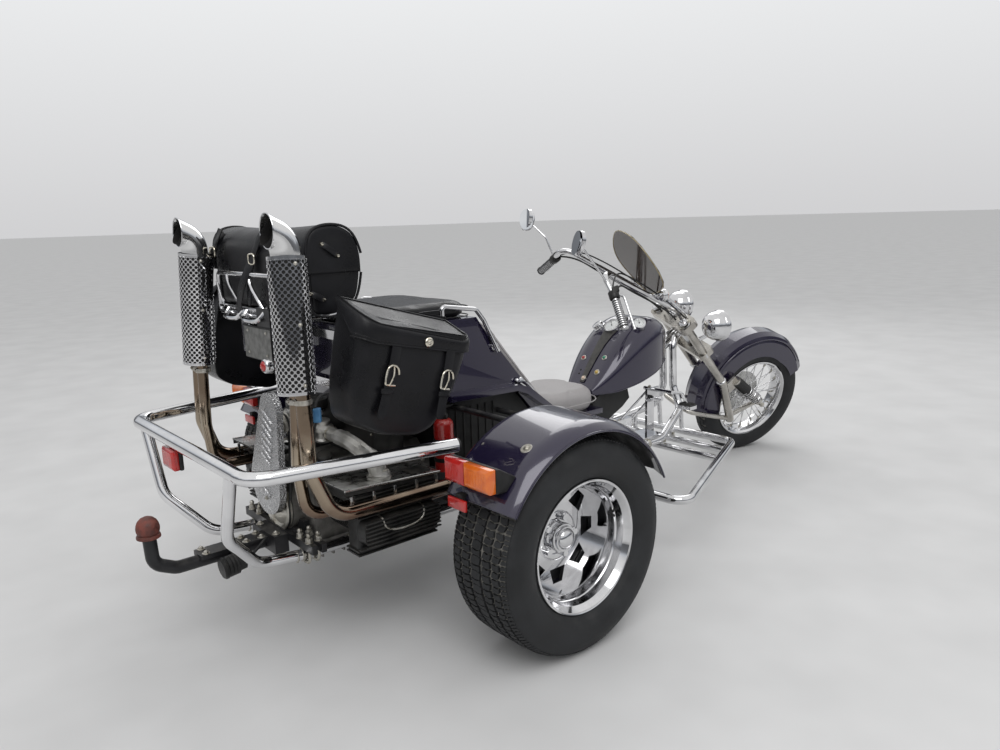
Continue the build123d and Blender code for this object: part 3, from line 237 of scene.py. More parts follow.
surface = bpy.data.node_groups.new("surface", "ShaderNodeTree")
for title, way, kind in (("Patch Scale", "INPUT", "NodeSocketFloat"),
                         ("Grain Scale", "INPUT", "NodeSocketFloat"),
                         ("Patch", "OUTPUT", "NodeSocketFloat"), ("Grain", "OUTPUT", "NodeSocketFloat"),
                         ("Dust", "OUTPUT", "NodeSocketFloat")):
    surface.interface.new_socket(title, in_out=way, socket_type=kind)
inner, tie = surface.nodes.new, surface.links.new
taken, given = inner("NodeGroupInput"), inner("NodeGroupOutput")
where = inner("ShaderNodeTexCoord")
for source, sink, detail in (("Patch Scale", "Patch", 6), ("Grain Scale", "Grain", 2)):
    cloud = inner("ShaderNodeTexNoise")
    cloud.inputs["Detail"].default_value = detail
    tie(where.outputs["Object"], cloud.inputs["Vector"])
    tie(taken.outputs[source], cloud.inputs["Scale"])
    tie(cloud.outputs["Fac"], given.inputs[sink])
facing_up = inner("ShaderNodeSeparateXYZ")
lying = inner("ShaderNodeMapRange")
lying.inputs["From Min"].default_value = 0.2
speck = inner("ShaderNodeTexNoise")
speck.inputs["Scale"].default_value = 24
speck.inputs["Detail"].default_value = 8
film = inner("ShaderNodeMapRange")
film.inputs["From Min"].default_value = 0.42
film.inputs["From Max"].default_value = 0.8
both = inner("ShaderNodeMath")
both.operation = "MULTIPLY"
tie(inner("ShaderNodeNewGeometry").outputs["Normal"], facing_up.inputs[0])
tie(facing_up.outputs["Z"], lying.inputs["Value"])
tie(where.outputs["Object"], speck.inputs["Vector"])
tie(speck.outputs["Fac"], film.inputs["Value"])
tie(lying.outputs[0], both.inputs[0])
tie(film.outputs[0], both.inputs[1])
tie(both.outputs[0], given.inputs["Dust"])


def material(name):
    """A new node material: (material, node adder, linker, shader)."""
    made = bpy.data.materials.new(name)
    made.use_nodes = True
    tree = made.node_tree
    return made, tree.nodes.new, tree.links.new, next(n for n in tree.nodes if n.type == "BSDF_PRINCIPLED")


def ramp(node, stops):
    """Sets a colour ramp's stops from (place, colour) pairs."""
    bar = node.color_ramp
    while len(bar.elements) < len(stops):
        bar.elements.new(0.5)
    for element, (place, colour) in zip(bar.elements, stops):
        element.position = place
        element.color = (*colour, 1)
    return node


def finish_of(name, dark, light, rough, metallic=0.0, patch=30, grain=0.0, fine=400, coat=0.0, dust=0.25,
              dust_colour=(0.16, 0.15, 0.13), shine=0.5):
    """A finish that wanders between two tones and two roughnesses, with a grain and a film of dust."""
    made, add, link, shader = material(name)
    skin = add("ShaderNodeGroup")
    skin.node_tree = surface
    skin.inputs["Patch Scale"].default_value = patch
    skin.inputs["Grain Scale"].default_value = fine
    tones = ramp(add("ShaderNodeValToRGB"), [(0.35, dark), (0.65, light)])
    link(skin.outputs["Patch"], tones.inputs[0])
    soil = add("ShaderNodeMix")
    soil.data_type = "RGBA"
    soil.inputs["B"].default_value = (*dust_colour, 1)
    share = add("ShaderNodeMath")
    share.operation = "MULTIPLY"
    share.inputs[1].default_value = dust
    link(skin.outputs["Dust"], share.inputs[0])
    link(share.outputs[0], soil.inputs["Factor"])
    link(tones.outputs[0], soil.inputs["A"])
    link(soil.outputs["Result"], shader.inputs["Base Color"])
    matt = add("ShaderNodeMapRange")
    matt.inputs["From Min"].default_value = 0.35
    matt.inputs["From Max"].default_value = 0.65
    matt.inputs["To Min"].default_value = rough[0]
    matt.inputs["To Max"].default_value = rough[1]
    link(skin.outputs["Patch"], matt.inputs["Value"])
    link(matt.outputs[0], shader.inputs["Roughness"])
    shader.inputs["Metallic"].default_value = metallic
    shader.inputs["Specular IOR Level"].default_value = shine
    shader.inputs["Coat Weight"].default_value = coat
    shader.inputs["Coat Roughness"].default_value = 0.03
    if grain:
        height = add("ShaderNodeBump")
        height.inputs["Distance"].default_value = grain
        link(skin.outputs["Grain"], height.inputs["Height"])
        link(height.outputs[0], shader.inputs["Normal"])
    return made


def paint(finish, *names):
    """Gives drawn solids that stay in view their finish."""
    for name in names:
        nodes[name].data.materials.clear()
        nodes[name].data.materials.append(finish)


CHROME = finish_of("chrome", (0.60, 0.60, 0.61), (0.80, 0.80, 0.81), (0.04, 0.13), 1.0, 9, dust=0.12)
ZINC = finish_of("zinc plated steel", (0.34, 0.32, 0.27), (0.62, 0.60, 0.55), (0.25, 0.5), 0.9, 40, 0.0004,
                 500)
paint(CHROME, "frame")
clear()
bpy.ops.mesh.primitive_cylinder_add(vertices=24, radius=0.0215, depth=0.016)
collar = bpy.context.object
modify(collar, "BEVEL", width=0.003, segments=3)
keep(copied(collar, [(P(x, y, 285), (1, 0, 0)) for y in (-180, 180) for x in (-415, -205, 455, 1130)]),
     "rail_collars", ZINC)

# Rear axle: black painted gearbox, axle tubes, torsion tube and swing arms, with bolted flanges.
# The castings are the drawn solids; the bolts and both brake lines are added to them.
BLACK = finish_of("black paint", (0.010, 0.010, 0.011), (0.026, 0.026, 0.028), (0.28, 0.5), 0.0, 14, 0.0003,
                  300, dust=0.4, shine=0.35)
paint(BLACK, "rear_axle")


def bolt(radius, height, washer=1.6, sides=6):
    """A hexagon head on a washer with a domed end, on the origin; millimetres."""
    clear()
    bpy.ops.mesh.primitive_cylinder_add(vertices=sides, radius=radius / 1000, depth=height / 1000,
                                        location=(0, 0, height / 2000))
    head = picked(bpy.context.object, lambda face: face.normal.z > 0.9)
    bpy.ops.mesh.inset(thickness=radius * 0.28 / 1000, depth=radius * 0.16 / 1000)
    bpy.ops.mesh.inset(thickness=radius * 0.3 / 1000, depth=radius * 0.3 / 1000)
    bpy.ops.object.mode_set(mode="OBJECT")
    bpy.ops.mesh.primitive_cylinder_add(vertices=16, radius=radius * washer / 1000, depth=0.0024,
                                        location=(0, 0, 0.0008))
    flat = bpy.context.object
    modify(flat, "BEVEL", width=0.0006, segments=2)
    return joined([head, flat])


flange = [(P(105 * cos(t), side * 604.5, 340 + 105 * sin(t)), (0, side, 0))
          for side in (-1, 1) for t in angles(8)]
cover = [(P(20 + 34 * k, side * 105, z), (0, side, 0)) for side in (-1, 1) for k in range(7)
         for z in (262, 408)]
keep(copied(bolt(6, 6), flange + cover), "axle_bolts", ZINC)
for side in (-1, 1):
    hose = pipe([P(-18, side * 120, 372), P(-30, side * 260, 378), P(-24, side * 420, 376),
                 P(-30, side * 560, 352)], 5)
    keep(hose, "brake_line_" + ("right" if side < 0 else "left"), BLACK)

# Engine: an air-cooled flat four. Oily cast case, barrels under black tin with a bright edge, ribbed
# heads, covers held by wire bails, and a belt from the crank's pulley up to the generator's.


def laid(x0, x1, y0, y1, z, offset, edge=0.0, segments=3):
    """A level plate between two places ahead and two across, pushed by an offset."""
    return pushed([P(x0, y0, z), P(x1, y0, z), P(x1, y1, z), P(x0, y1, z)], offset, edge, segments)


CAST = finish_of("cast alloy", (0.10, 0.095, 0.088), (0.30, 0.29, 0.27), (0.35, 0.65), 0.75, 16, 0.0012,
                 260, dust=0.4)
TIN = finish_of("engine tin", (0.012, 0.012, 0.012), (0.035, 0.034, 0.032), (0.3, 0.55), 0.0, 20, 0.0003,
                200, dust=0.4, shine=0.35)
BRIGHT = finish_of("bright alloy", (0.42, 0.42, 0.41), (0.66, 0.66, 0.64), (0.2, 0.4), 1.0, 30, 0.0003, 300)
RUBBER = finish_of("black rubber", (0.012, 0.012, 0.012), (0.03, 0.03, 0.03), (0.5, 0.75), 0.0, 30, 0.0005,
                   300)
paint(CAST, "engine_case")
paint(TIN, "fan_housing", "cylinders")
edges = []
for side in (-1, 1):
    sheet = pushed([P(-546, side * 232, 541.4), P(-204, side * 232, 522.4), P(-204, side * 407, 522.4),
                    P(-546, side * 407, 541.4)], Vector((0, 0, 0.0025)), 1.0, 2)
    lip = pipe([P(-546, side * 406, 541), P(-375, side * 406, 532), P(-204, side * 406, 522)], 4,
               smooth=False)
    edges += [sheet, lip]
    for x in (-530, -455, -380, -300, -225):
        edges.append(laid(x, x + 10, side * 404, side * 410, 520, Vector((0, 0, -0.05)), 1.0, 2))
keep(joined(edges), "tin_edges", BRIGHT)
ribs = []
for k in range(9):
    z = 340 + 12.5 * k
    x0, x1, y0, y1 = (-496, -224, -433, -425) if 352 < z < 436 else (-506, -214, -408, -396)
    ribs.append(laid(x0, x1, y0, y1, z, Vector((0, 0, 0.0045)), 1.2, 2))
for z in (448, 462, 476, 490, 504):
    ribs.append(laid(-512, -208, -406, -394, z, Vector((0, 0, 0.005)), 1.2, 2))
keep(mirrored(joined(ribs)), "head_ribs", TIN)
bails = []
for side in (-1, 1):
    bails.append(pipe([P(-436, side * 398, 436), P(-436, side * 428, 440), P(-430, side * 432, 396),
                       P(-360, side * 433, 384), P(-290, side * 432, 396), P(-284, side * 428, 440),
                       P(-284, side * 398, 436)], 3))
keep(joined(bails), "cover_bails", ZINC)
generator = turned([(0, 0), (52, 0), (60, 6), (62, 12), (62, 26), (56, 32), (34, 34), (30, 44), (0, 44)],
                   P(-478, 0, 660), AFT, 40)
keep(generator, "generator_end", BRIGHT)
wheel = turned([(12, 0), (84, 0), (86, 3), (76, 9), (86, 15), (84, 18), (70, 18), (62, 10), (26, 8),
                (22, 22), (12, 22)], P(-562, 0, 400), AFT, 48)
small = turned([(8, 0), (44, 0), (46, 3), (38, 9), (46, 15), (44, 18), (20, 18), (18, 26), (0, 26)],
               P(-520, 0, 660), AFT, 40)
keep(joined([wheel, small]), "pulleys", ZINC)
belt = pipe([P(-571, 84 * cos(t), 400 + 84 * sin(t)) for t in [radians(a)
                                                               for a in (190, 225, 270, 315, 350)]] +
            [P(-529, 45 * cos(t), 660 + 45 * sin(t)) for t in [radians(a) for a in (5, 60, 120, 175)]], 5.5,
            closed=True)
keep(belt, "fan_belt", RUBBER)
housing = [(P(x, side * y, z), (facing, 0, 0)) for x, facing in ((-225, 1), (-330, -1))
           for y, z in ((200, 560), (215, 630), (150, 720), (60, 790)) for side in (-1, 1)]
case = [(P(x, y, 480), (0, -1 if y < 0 else 1, 0.4)) for y in (-152, 152)
        for x in (-500, -440, -260, -150, -90)]
keep(copied(bolt(5.5, 5), housing + case), "engine_bolts", ZINC)
filler = turned([(0, 0), (16, 0), (16, 60), (26, 64), (26, 78), (20, 84), (0, 84)], P(-452, -112, 505),
                Vector((-0.15, -0.35, 1)), 28)
keep(filler, "oil_filler", TIN)
shroud = pushed([P(-546, -150, 520), P(-546, 150, 520), P(-546, 225, 542), P(-546, 225, 556),
                 P(-546, -225, 556), P(-546, -225, 542)], Vector((0.03, 0, 0)), 3)
keep(shroud, "rear_tin", TIN)
ducts = []
for side in (-1, 1):
    for x in (-478, -404, -330, -256):
        ducts.append(pushed([P(x, side * 150, 458), P(x + 52, side * 150, 458), P(x + 46, side * 150, 536),
                             P(x + 6, side * 150, 536)], Vector((0, side * 0.15, 0)), 6))
keep(joined(ducts), "barrel_tin", TIN)

# Intake: a carburettor on the case with cast elbows out to both heads, banded hose joints,
# a round air cleaner, and the blue plug of the wiring loom that hangs beside the right stack.
INTAKE = finish_of("cast elbow", (0.40, 0.39, 0.36), (0.70, 0.69, 0.66), (0.3, 0.5), 0.9, 22, 0.0008, 240)
paint(INTAKE, "intake")
bands = []
for side in (-1, 1):
    for x, y, z, facing in ((-430, 96, 640, (0, 1, 0)), (-430, 132, 640, (0, 1, 0)),
                            (-392, 352, 560, (0, 0, 1)), (-428, 214, 638, (0.15, 0.97, -0.15))):
        bands.append((P(x, side * y, z), (facing[0], side * facing[1], facing[2])))
clear()
bpy.ops.mesh.primitive_torus_add(major_radius=0.0235, minor_radius=0.003, major_segments=28, minor_segments=6)
keep(copied(bpy.context.object, bands), "hose_bands", ZINC)
elbow = pipe([P(-446, -208, 648), P(-452, -262, 652), P(-440, -318, 634), P(-408, -352, 590),
              P(-404, -356, 552)], 25)
foot = turned([(0, 0), (36, 0), (38, 3), (38, 12), (30, 15), (26, 26), (0, 26)], P(-396, -353, 533),
              UP, 24)
nut = copied(bolt(7, 7), [(P(-426, -353, 548), (0, 0, 1)), (P(-366, -353, 548), (0, 0, 1))])
keep(mirrored(joined([elbow, foot, nut])), "intake_elbows", INTAKE)
cleaner = turned([(0, 0), (56, 0), (66, 4), (70, 10), (70, 34), (64, 40), (30, 44), (26, 52), (0, 52)],
                 P(-440, 0, 706), UP, 44)
keep(cleaner, "air_cleaner", TIN)
throat = turned([(0, 0), (26, 0), (30, 8), (24, 14), (24, 34), (34, 40), (34, 52), (22, 60), (22, 74),
                 (0, 74)], P(-440, -88, 612), Vector((0, -0.2, 1)), 28)
keep(throat, "carburettor_body", INTAKE)
BLUE = finish_of("blue plastic", (0.04, 0.16, 0.36), (0.10, 0.28, 0.5), (0.4, 0.6), 0.0, 40)
plug = pushed([P(-601, -352, 748), P(-583, -364, 748), P(-583, -364, 790), P(-601, -352, 790)],
              Vector((0.012, 0.016, 0)), 3)
keep(plug, "loom_plug", BLUE)
loom = joined([pipe([P(-590, -346, 790), P(-570, -322, 812), P(-520, -300, 818), P(-470, -280, 806)], 4),
               pipe([P(-594, -352, 750), P(-598, -344, 720), P(-586, -320, 690), P(-556, -260, 668),
                     P(-512, -60, 662)], 3.5)])
keep(loom, "wiring_loom", RUBBER)

# Exhaust: two steel pipes a side, tanned by heat, that rise into an upright silencer with a chromed,
# turned-out tip. The pipes are the drawn solids; the colour changes along them, and clamps hold them.
STEEL, add, link, shader = material("heat tinted steel")
skin = add("ShaderNodeGroup")
skin.node_tree = surface
skin.inputs["Patch Scale"].default_value = 14
skin.inputs["Grain Scale"].default_value = 220
high = add("ShaderNodeSeparateXYZ")
link(add("ShaderNodeTexCoord").outputs["Object"], high.inputs[0])
wander = add("ShaderNodeMath")
wander.operation = "MULTIPLY_ADD"
wander.inputs[1].default_value = 0.16
link(skin.outputs["Patch"], wander.inputs[0])
link(high.outputs["Z"], wander.inputs[2])
scale = add("ShaderNodeMapRange")
scale.inputs["From Min"].default_value = 0.45
scale.inputs["From Max"].default_value = 1.35
link(wander.outputs[0], scale.inputs["Value"])
tint = ramp(add("ShaderNodeValToRGB"), [(0.0, (0.24, 0.155, 0.105)), (0.10, (0.17, 0.11, 0.08)),
                                        (0.18, (0.30, 0.24, 0.18)), (0.30, (0.40, 0.34, 0.26)),
                                        (0.42, (0.22, 0.165, 0.12)), (0.60, (0.24, 0.19, 0.14)),
                                        (0.87, (0.30, 0.26, 0.22)), (0.9, (0.74, 0.74, 0.74)),])
link(scale.outputs[0], tint.inputs[0])
link(tint.outputs[0], shader.inputs["Base Color"])
shader.inputs["Metallic"].default_value = 1.0
gloss = add("ShaderNodeMapRange")
gloss.inputs["From Min"].default_value = 0.3
gloss.inputs["From Max"].default_value = 0.7
gloss.inputs["To Min"].default_value = 0.04
gloss.inputs["To Max"].default_value = 0.22
link(skin.outputs["Patch"], gloss.inputs["Value"])
link(gloss.outputs[0], shader.inputs["Roughness"])
paint(STEEL, "exhaust")
SOOT = finish_of("soot", (0.006, 0.006, 0.006), (0.014, 0.013, 0.012), (0.75, 0.95), 0.0, 40, 0.0006, 200,
                 dust=0.05)
bores, clamps = [], []
for side in (-1, 1):
    bores.append(turned([(0, -6), (30, -5), (39.2, -2), (39.9, 22), (39.6, 26)], P(-661, side * 340, 1281),
                        Vector((-0.88, 0, 0.47)), 40))
    for y, z in ((389, 826), (352, 822)):
        ring = turned([(20, -7), (25.5, -7), (26, -5), (26, 5), (25.5, 7), (20, 7)], P(-646.5, side * y, z),
                      UP, 28)
        clamps += [ring, copied(bolt(5, 6), [(P(-672 if y > 370 else -673, side * y, z), (-1, 0, 0))])]
keep(joined(bores), "tip_bores", SOOT)
keep(joined(clamps), "pipe_clamps", ZINC)
mouths = []
for side in (-1, 1):
    ring = [P(-688, side * 340 + 42 * sin(t), 1294.5 + 47.8 * cos(t)) for t in angles(32)]
    mouths.append(pipe(ring, 1.8, closed=True, fine=2))
keep(joined(mouths), "tip_rims", CHROME)

# Heat shields: a rolled sheet of perforated, chromed steel round each silencer, its holes in staggered
# rows, closed by plain bands. One pierced cell is drawn, repeated over a flat sheet and rolled up.
stack_foot, stack_top = P(-651, -368, 846), P(-638, -340, 1226)
stack_axis = (stack_top - stack_foot).normalized()
stack_out = Vector((1, 0, 0)) - stack_axis * stack_axis.x
stack_out.normalize()
stack_side = stack_axis.cross(stack_out)
shield_radius = 0.0533
cell_wide, cell_high = 0.0167444, 0.0181
clear()
bpy.ops.mesh.primitive_circle_add(vertices=12, radius=0.0052)
shield = bpy.context.object
bpy.ops.object.mode_set(mode="EDIT")
bpy.ops.mesh.select_mode(type="VERT")
bpy.ops.mesh.select_all(action="SELECT")
bpy.ops.mesh.extrude_edges_move()
shape = bmesh.from_edit_mesh(shield.data)
for vertex in shape.verts:
    if vertex.select:
        away = vertex.co.normalized()
        vertex.co = away / (abs(away.x) / (cell_wide / 2) + abs(away.y) / (cell_high / 2))
bmesh.update_edit_mesh(shield.data)
bpy.ops.object.mode_set(mode="OBJECT")
for count, shift in ((20, (cell_wide, 0, 0)), (2, (cell_wide / 2, cell_high / 2, 0)),
                     (20, (0, cell_high, 0))):
    modify(shield, "ARRAY", count=count, use_relative_offset=False, use_constant_offset=True,
           constant_offset_displace=shift, use_merge_vertices=True, merge_threshold=0.0001)
for vertex in shield.data.vertices:
    angle = vertex.co.x / shield_radius
    outward = stack_out * cos(angle) + stack_side * sin(angle)
    vertex.co = stack_foot + stack_axis * (vertex.co.y + 0.0105) + outward * shield_radius
picked(shield, lambda face: True)
bpy.ops.mesh.remove_doubles(threshold=0.0002)
settled(shield)
modify(shield, "SOLIDIFY", thickness=0.0016, offset=-1)
bands = [turned([(52, low), (54, low), (54, low + wide), (52, low + wide), (52, low)], stack_foot,
                stack_axis, 48) for low, wide in ((0, 6), (372, 8))]
lids = [turned([(38.2, low), (52.5, low), (52.5, low + 3), (38.2, low + 3), (38.2, low)], stack_foot,
               stack_axis, 48) for low in (6, 368)]
shields = keep(mirrored(joined([shield] + bands + lids)), "pierced_shields", CHROME)
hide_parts("heat_shields")
screws = [(stack_foot + stack_axis * (k / 1000) + stack_side * s * 0.0538, stack_side * s)
          for k in (24, 190, 356) for s in (-1, 1)]
keep(mirrored(copied(bolt(4.5, 4, 1.3), screws)), "shield_screws", ZINC)
sleeve = turned([(45, 8), (50.6, 10), (50.6, 366), (45, 368)], stack_foot, stack_axis, 40)
keep(mirrored(sleeve), "silencer_sleeves", SOOT)

# Belt guard: a hammered, bright plate over the pulleys, dished at its edge, with cut louvres.
# The plate is the drawn solid; each louvre gets its raised lip, and bolts hold it to its studs.
HAMMERED, add, link, shader = material("hammered bright plate")
cells = add("ShaderNodeTexVoronoi")
cells.inputs["Scale"].default_value = 190
link(add("ShaderNodeTexCoord").outputs["Object"], cells.inputs["Vector"])
tones = ramp(add("ShaderNodeValToRGB"), [(0.0, (0.80, 0.80, 0.80)), (0.7, (0.42, 0.42, 0.43))])
link(cells.outputs["Distance"], tones.inputs[0])
link(tones.outputs[0], shader.inputs["Base Color"])
shader.inputs["Metallic"].default_value = 1.0
dent = add("ShaderNodeBump")
dent.inputs["Distance"].default_value = 0.0022
link(cells.outputs["Distance"], dent.inputs["Height"])
link(dent.outputs[0], shader.inputs["Normal"])
matt = add("ShaderNodeMapRange")
matt.inputs["To Min"].default_value = 0.12
matt.inputs["To Max"].default_value = 0.4
link(cells.outputs["Distance"], matt.inputs["Value"])
link(matt.outputs[0], shader.inputs["Roughness"])
paint(HAMMERED, "belt_guard")
louvres = []
run = Vector((0, cos(radians(28)), sin(radians(28))))
drop = Vector((0, sin(radians(28)), -cos(radians(28))))
proud = Vector((-0.0055, 0, 0))
for z in list(range(570, 735, 24)) + [460]:
    y = 6 if z == 460 else -58 - 0.27 * (z - 720)
    corner = P(-607.5, y, z) - run * 0.036 - drop * 0.0052
    louvres.append(pushed([corner, corner + run * 0.072, corner + run * 0.070 + proud + drop * 0.004,
                           corner + run * 0.002 + proud + drop * 0.004], drop * 0.0018, 0.4, 1))
keep(joined(louvres), "guard_louvres", HAMMERED)
keep(copied(bolt(8, 5), [(P(-607, 6, 430), (-1, 0, 0)), (P(-607, -30, 640), (-1, 0, 0))]), "guard_bolts",
     ZINC)

# Bumper: a bright chromed tube about the stern on two legs that sweep down to the lower rails.
# The tube is the drawn solid; its end plugs and the straps on the lower rails are added.
BAR = finish_of("bright chrome", (0.74, 0.74, 0.75), (0.86, 0.86, 0.87), (0.03, 0.09), 1.0, 7, dust=0.15)
paint(BAR, "bumper")
plugs = [turned([(0, 8), (14, 7), (19, 4), (21.4, 0), (21.4, -3), (18, -3)], P(-270, side * 594, 662),
                Vector((0.977, side * 0.213, 0)), 28) for side in (-1, 1)]
keep(joined(plugs), "bumper_plugs", RUBBER)
strap_places = [(P(x, side * 180, 285), (1, 0, 0)) for side in (-1, 1) for x in (-608, -590)]
clear()
bpy.ops.mesh.primitive_cylinder_add(vertices=24, radius=0.0195, depth=0.005)
strap_ring = bpy.context.object
modify(strap_ring, "BEVEL", width=0.0015, segments=2)
keep(copied(strap_ring, strap_places), "leg_straps", ZINC)

# Engine mount: a pair of black square bars across the lower rails, held down by U-bolts
# whose threaded ends stand up through domed, zinc plated nuts.
paint(BLACK, "engine_mount")
standing = [(P(x, side * 180 + y, 331.3), (0, 0, 1)) for side in (-1, 1) for x in (-576, -544)
            for y in (-30, 30)]
low_nut = bolt(10.5, 15, 1.25)
clear()
bpy.ops.mesh.primitive_uv_sphere_add(segments=16, ring_count=8, radius=0.0078, location=(0, 0, 0.0235))
dome = bpy.context.object
modify(dome, "BEVEL", width=0.0004, segments=1)
keep(copied(joined([low_nut, dome]), standing), "mount_nuts", ZINC)
loops = []
for side in (-1, 1):
    for x in (-576, -544):
        loops.append(pipe([P(x, side * 180 - 30, 334), P(x, side * 180 - 30, 286), P(x, side * 180 - 24, 263),
                           P(x, side * 180, 259), P(x, side * 180 + 24, 263), P(x, side * 180 + 30, 286),
                           P(x, side * 180 + 30, 334)], 5.5))
keep(joined(loops), "mount_u_bolts", ZINC)

# Tow bar: a black forged swan neck bolted under a plate, with a worn red-brown rubber cover on its
# ball and a black plastic trailer socket with a ribbed lid beside it.
paint(BLACK, "tow_bar")
COVER = finish_of("red rubber", (0.075, 0.022, 0.016), (0.19, 0.050, 0.036), (0.45, 0.75), 0.0, 40, 0.0022,
                  120, dust=0.3)
rubber = turned([(0, 34.5), (9, 33.5), (19, 29), (27.5, 20.5), (32, 10.5), (34, 0), (33.5, -9), (31, -17),
                 (29, -20), (33.5, -22), (35, -26), (34.5, -31), (30, -32.5), (22, -32.5), (22, -28)],
                P(-984, 0, 440), UP, 40)
keep(rubber, "ball_rubber", COVER)
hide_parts("ball_cover")
tow = [(P(x, y, 316.5), (0, 0, 1)) for x in (-830, -700, -650) for y in (-22, 22)]
tow += [(P(-616, y, 328.5), (0, 0, 1)) for y in (-60, 60)]
keep(copied(bolt(8, 7), tow), "tow_bolts", ZINC)
PLASTIC = finish_of("black plastic", (0.010, 0.010, 0.010), (0.025, 0.025, 0.025), (0.35, 0.6), 0.0, 25,
                    0.0004, 350, dust=0.25, shine=0.3)
socket = turned([(26.5, 2), (27, 24), (31, 25), (33, 27), (33, 34), (31, 36), (33, 38), (33, 45), (31, 47),
                 (33, 49), (33, 56), (30, 60), (34, 62), (34.5, 70), (30, 75), (12, 77), (0, 77)],
                P(-732, -75, 282), Vector((-1, 0, -0.12)), 40)
keep(socket, "socket_shell", PLASTIC)
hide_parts("trailer_socket")
arm = pushed([P(-752, -20.5, 276), P(-752, -20.5, 300), P(-752, -60, 300), P(-752, -60, 276)],
             Vector((-0.004, 0, 0)), 1)
keep(arm, "socket_arm", BLACK)
lead = pipe([P(-733, -75, 282), P(-716, -76, 284), P(-690, -60, 292), P(-655, -40, 304), P(-640, -30, 312)],
            5)
keep(lead, "socket_lead", RUBBER)

# Rear fenders: glass-fibre in deep metallic violet with a rolled lip, black underneath, stood on
# stays. The shell is the drawn solid; it gets a black liner, the lip's bead and its bolts.
PAINT = finish_of("violet paint", (0.010, 0.007, 0.026), (0.020, 0.015, 0.044), (0.16, 0.22), 0.25, 900,
                  coat=1.0, dust=0.02, dust_colour=(0.2, 0.19, 0.2))
paint(PAINT, "fenders")
hub_height = 340


def fender_place(y, r, degrees):
    """A place on a rear fender: across, out from the wheel's middle, and round from straight ahead."""
    return P(r * cos(radians(degrees)), y, hub_height + r * sin(radians(degrees)))


liner_profile = [(-604, 324), (-604, 366), (-612, 380), (-640, 387.5), (-822, 381.5), (-850, 374),
                 (-884, 357)]
liner = traced([fender_place(y, r, 25) for y, r in liner_profile])
bpy.ops.mesh.spin(steps=40, angle=radians(123), center=P(0, 0, hub_height), axis=(0, 1, 0))
bpy.ops.mesh.select_all(action="SELECT")
bpy.ops.mesh.normals_make_consistent(inside=True)
bpy.ops.object.mode_set(mode="OBJECT")
keep(mirrored(liner), "fender_liners", PLASTIC)
section = ((-886, 359), (-850, 379), (-822, 386), (-640, 392), (-606, 374), (-601.5, 322))
beads = [pipe([fender_place(-886, 359, 24 + 125 * k / 31) for k in range(32)], 3.6, fine=2)]
for degrees in (149, 24):
    beads.append(pipe([fender_place(y, r, degrees) for y, r in section], 2.6, fine=2, smooth=False))
keep(mirrored(joined(beads)), "fender_beads", PAINT)
round_head = turned([(0, 5.5), (5, 5), (8, 2.6), (9, 1), (17, 1), (18, 0), (18, -1.5)], ORIGIN,
                    UP, 24)
heads = []
for side in (-1, 1):
    for y, degrees in ((806, 119.5), (806, 62), (650, 124)):
        t = radians(degrees)
        heads.append((fender_place(side * y, 388.5, degrees), (cos(t), side * 0.05, sin(t))))
for polygon in nodes["fenders"].data.polygons:
    if abs(polygon.center.y) < 0.598:
        polygon.material_index = 1
nodes["fenders"].data.materials.append(BLACK)
keep(copied(round_head, heads), "fender_bolts", ZINC)

# Rear lamps: each a black wedge on the fender's back that carries one long bevelled lens, red on its
# inner part and amber outboard, ribbed inside; a red reflector hangs below. A fog lamp hangs from the
# bumper rail.
RED_LENS = finish_of("red lens", (0.36, 0.012, 0.010), (0.52, 0.020, 0.016), (0.08, 0.16), 0.0, 26, 0.0006,
                     130, coat=0.8, dust=0.05)
AMBER_LENS = finish_of("amber lens", (0.62, 0.11, 0.010), (0.80, 0.19, 0.015), (0.08, 0.16), 0.0, 26,
                       0.0006, 130, coat=0.8, dust=0.05)
wedge = pushed([P(-336, -640, 587), P(-336, -640, 659), P(-322, -640, 656), P(-264, -640, 622),
                P(-300, -640, 587)], Vector((0, -0.205, 0)), 5)
box = mirrored(wedge)
keep(box, "lamp_bases", PLASTIC)
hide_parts("tail_lamps")


def stood(x, y0, y1, z0, z1, offset, edge=0.0, segments=3):
    """An upright plate across the trike, pushed by an offset."""
    return pushed([P(x, y0, z0), P(x, y1, z0), P(x, y1, z1), P(x, y0, z1)], offset, edge, segments)


def lens(y0, y1, z0, z1, x0, x1, shoulder):
    """A lens block with a raised, chamfered face that looks back."""
    made = stood(x1, y0, y1, z0, z1, Vector(((x0 - x1) / 1000, 0, 0)))
    picked(made, lambda face: face.normal.x < -0.9)
    bpy.ops.mesh.inset(thickness=shoulder / 1000, depth=shoulder * 0.7 / 1000)
    bpy.ops.object.mode_set(mode="OBJECT")
    return modify(made, "BEVEL", width=0.0016, segments=2, limit_method="ANGLE", angle_limit=radians(20))


def ribs_on(y0, y1, z0, z1, x, count):
    """Fine upright ribs across a lens."""
    made = []
    for k in range(count):
        y = y0 + (y1 - y0) * (k + 0.5) / count
        made.append(pipe([P(x, y, z0), P(x, y, z1)], 1.1, fine=1, smooth=False))
    return joined(made)


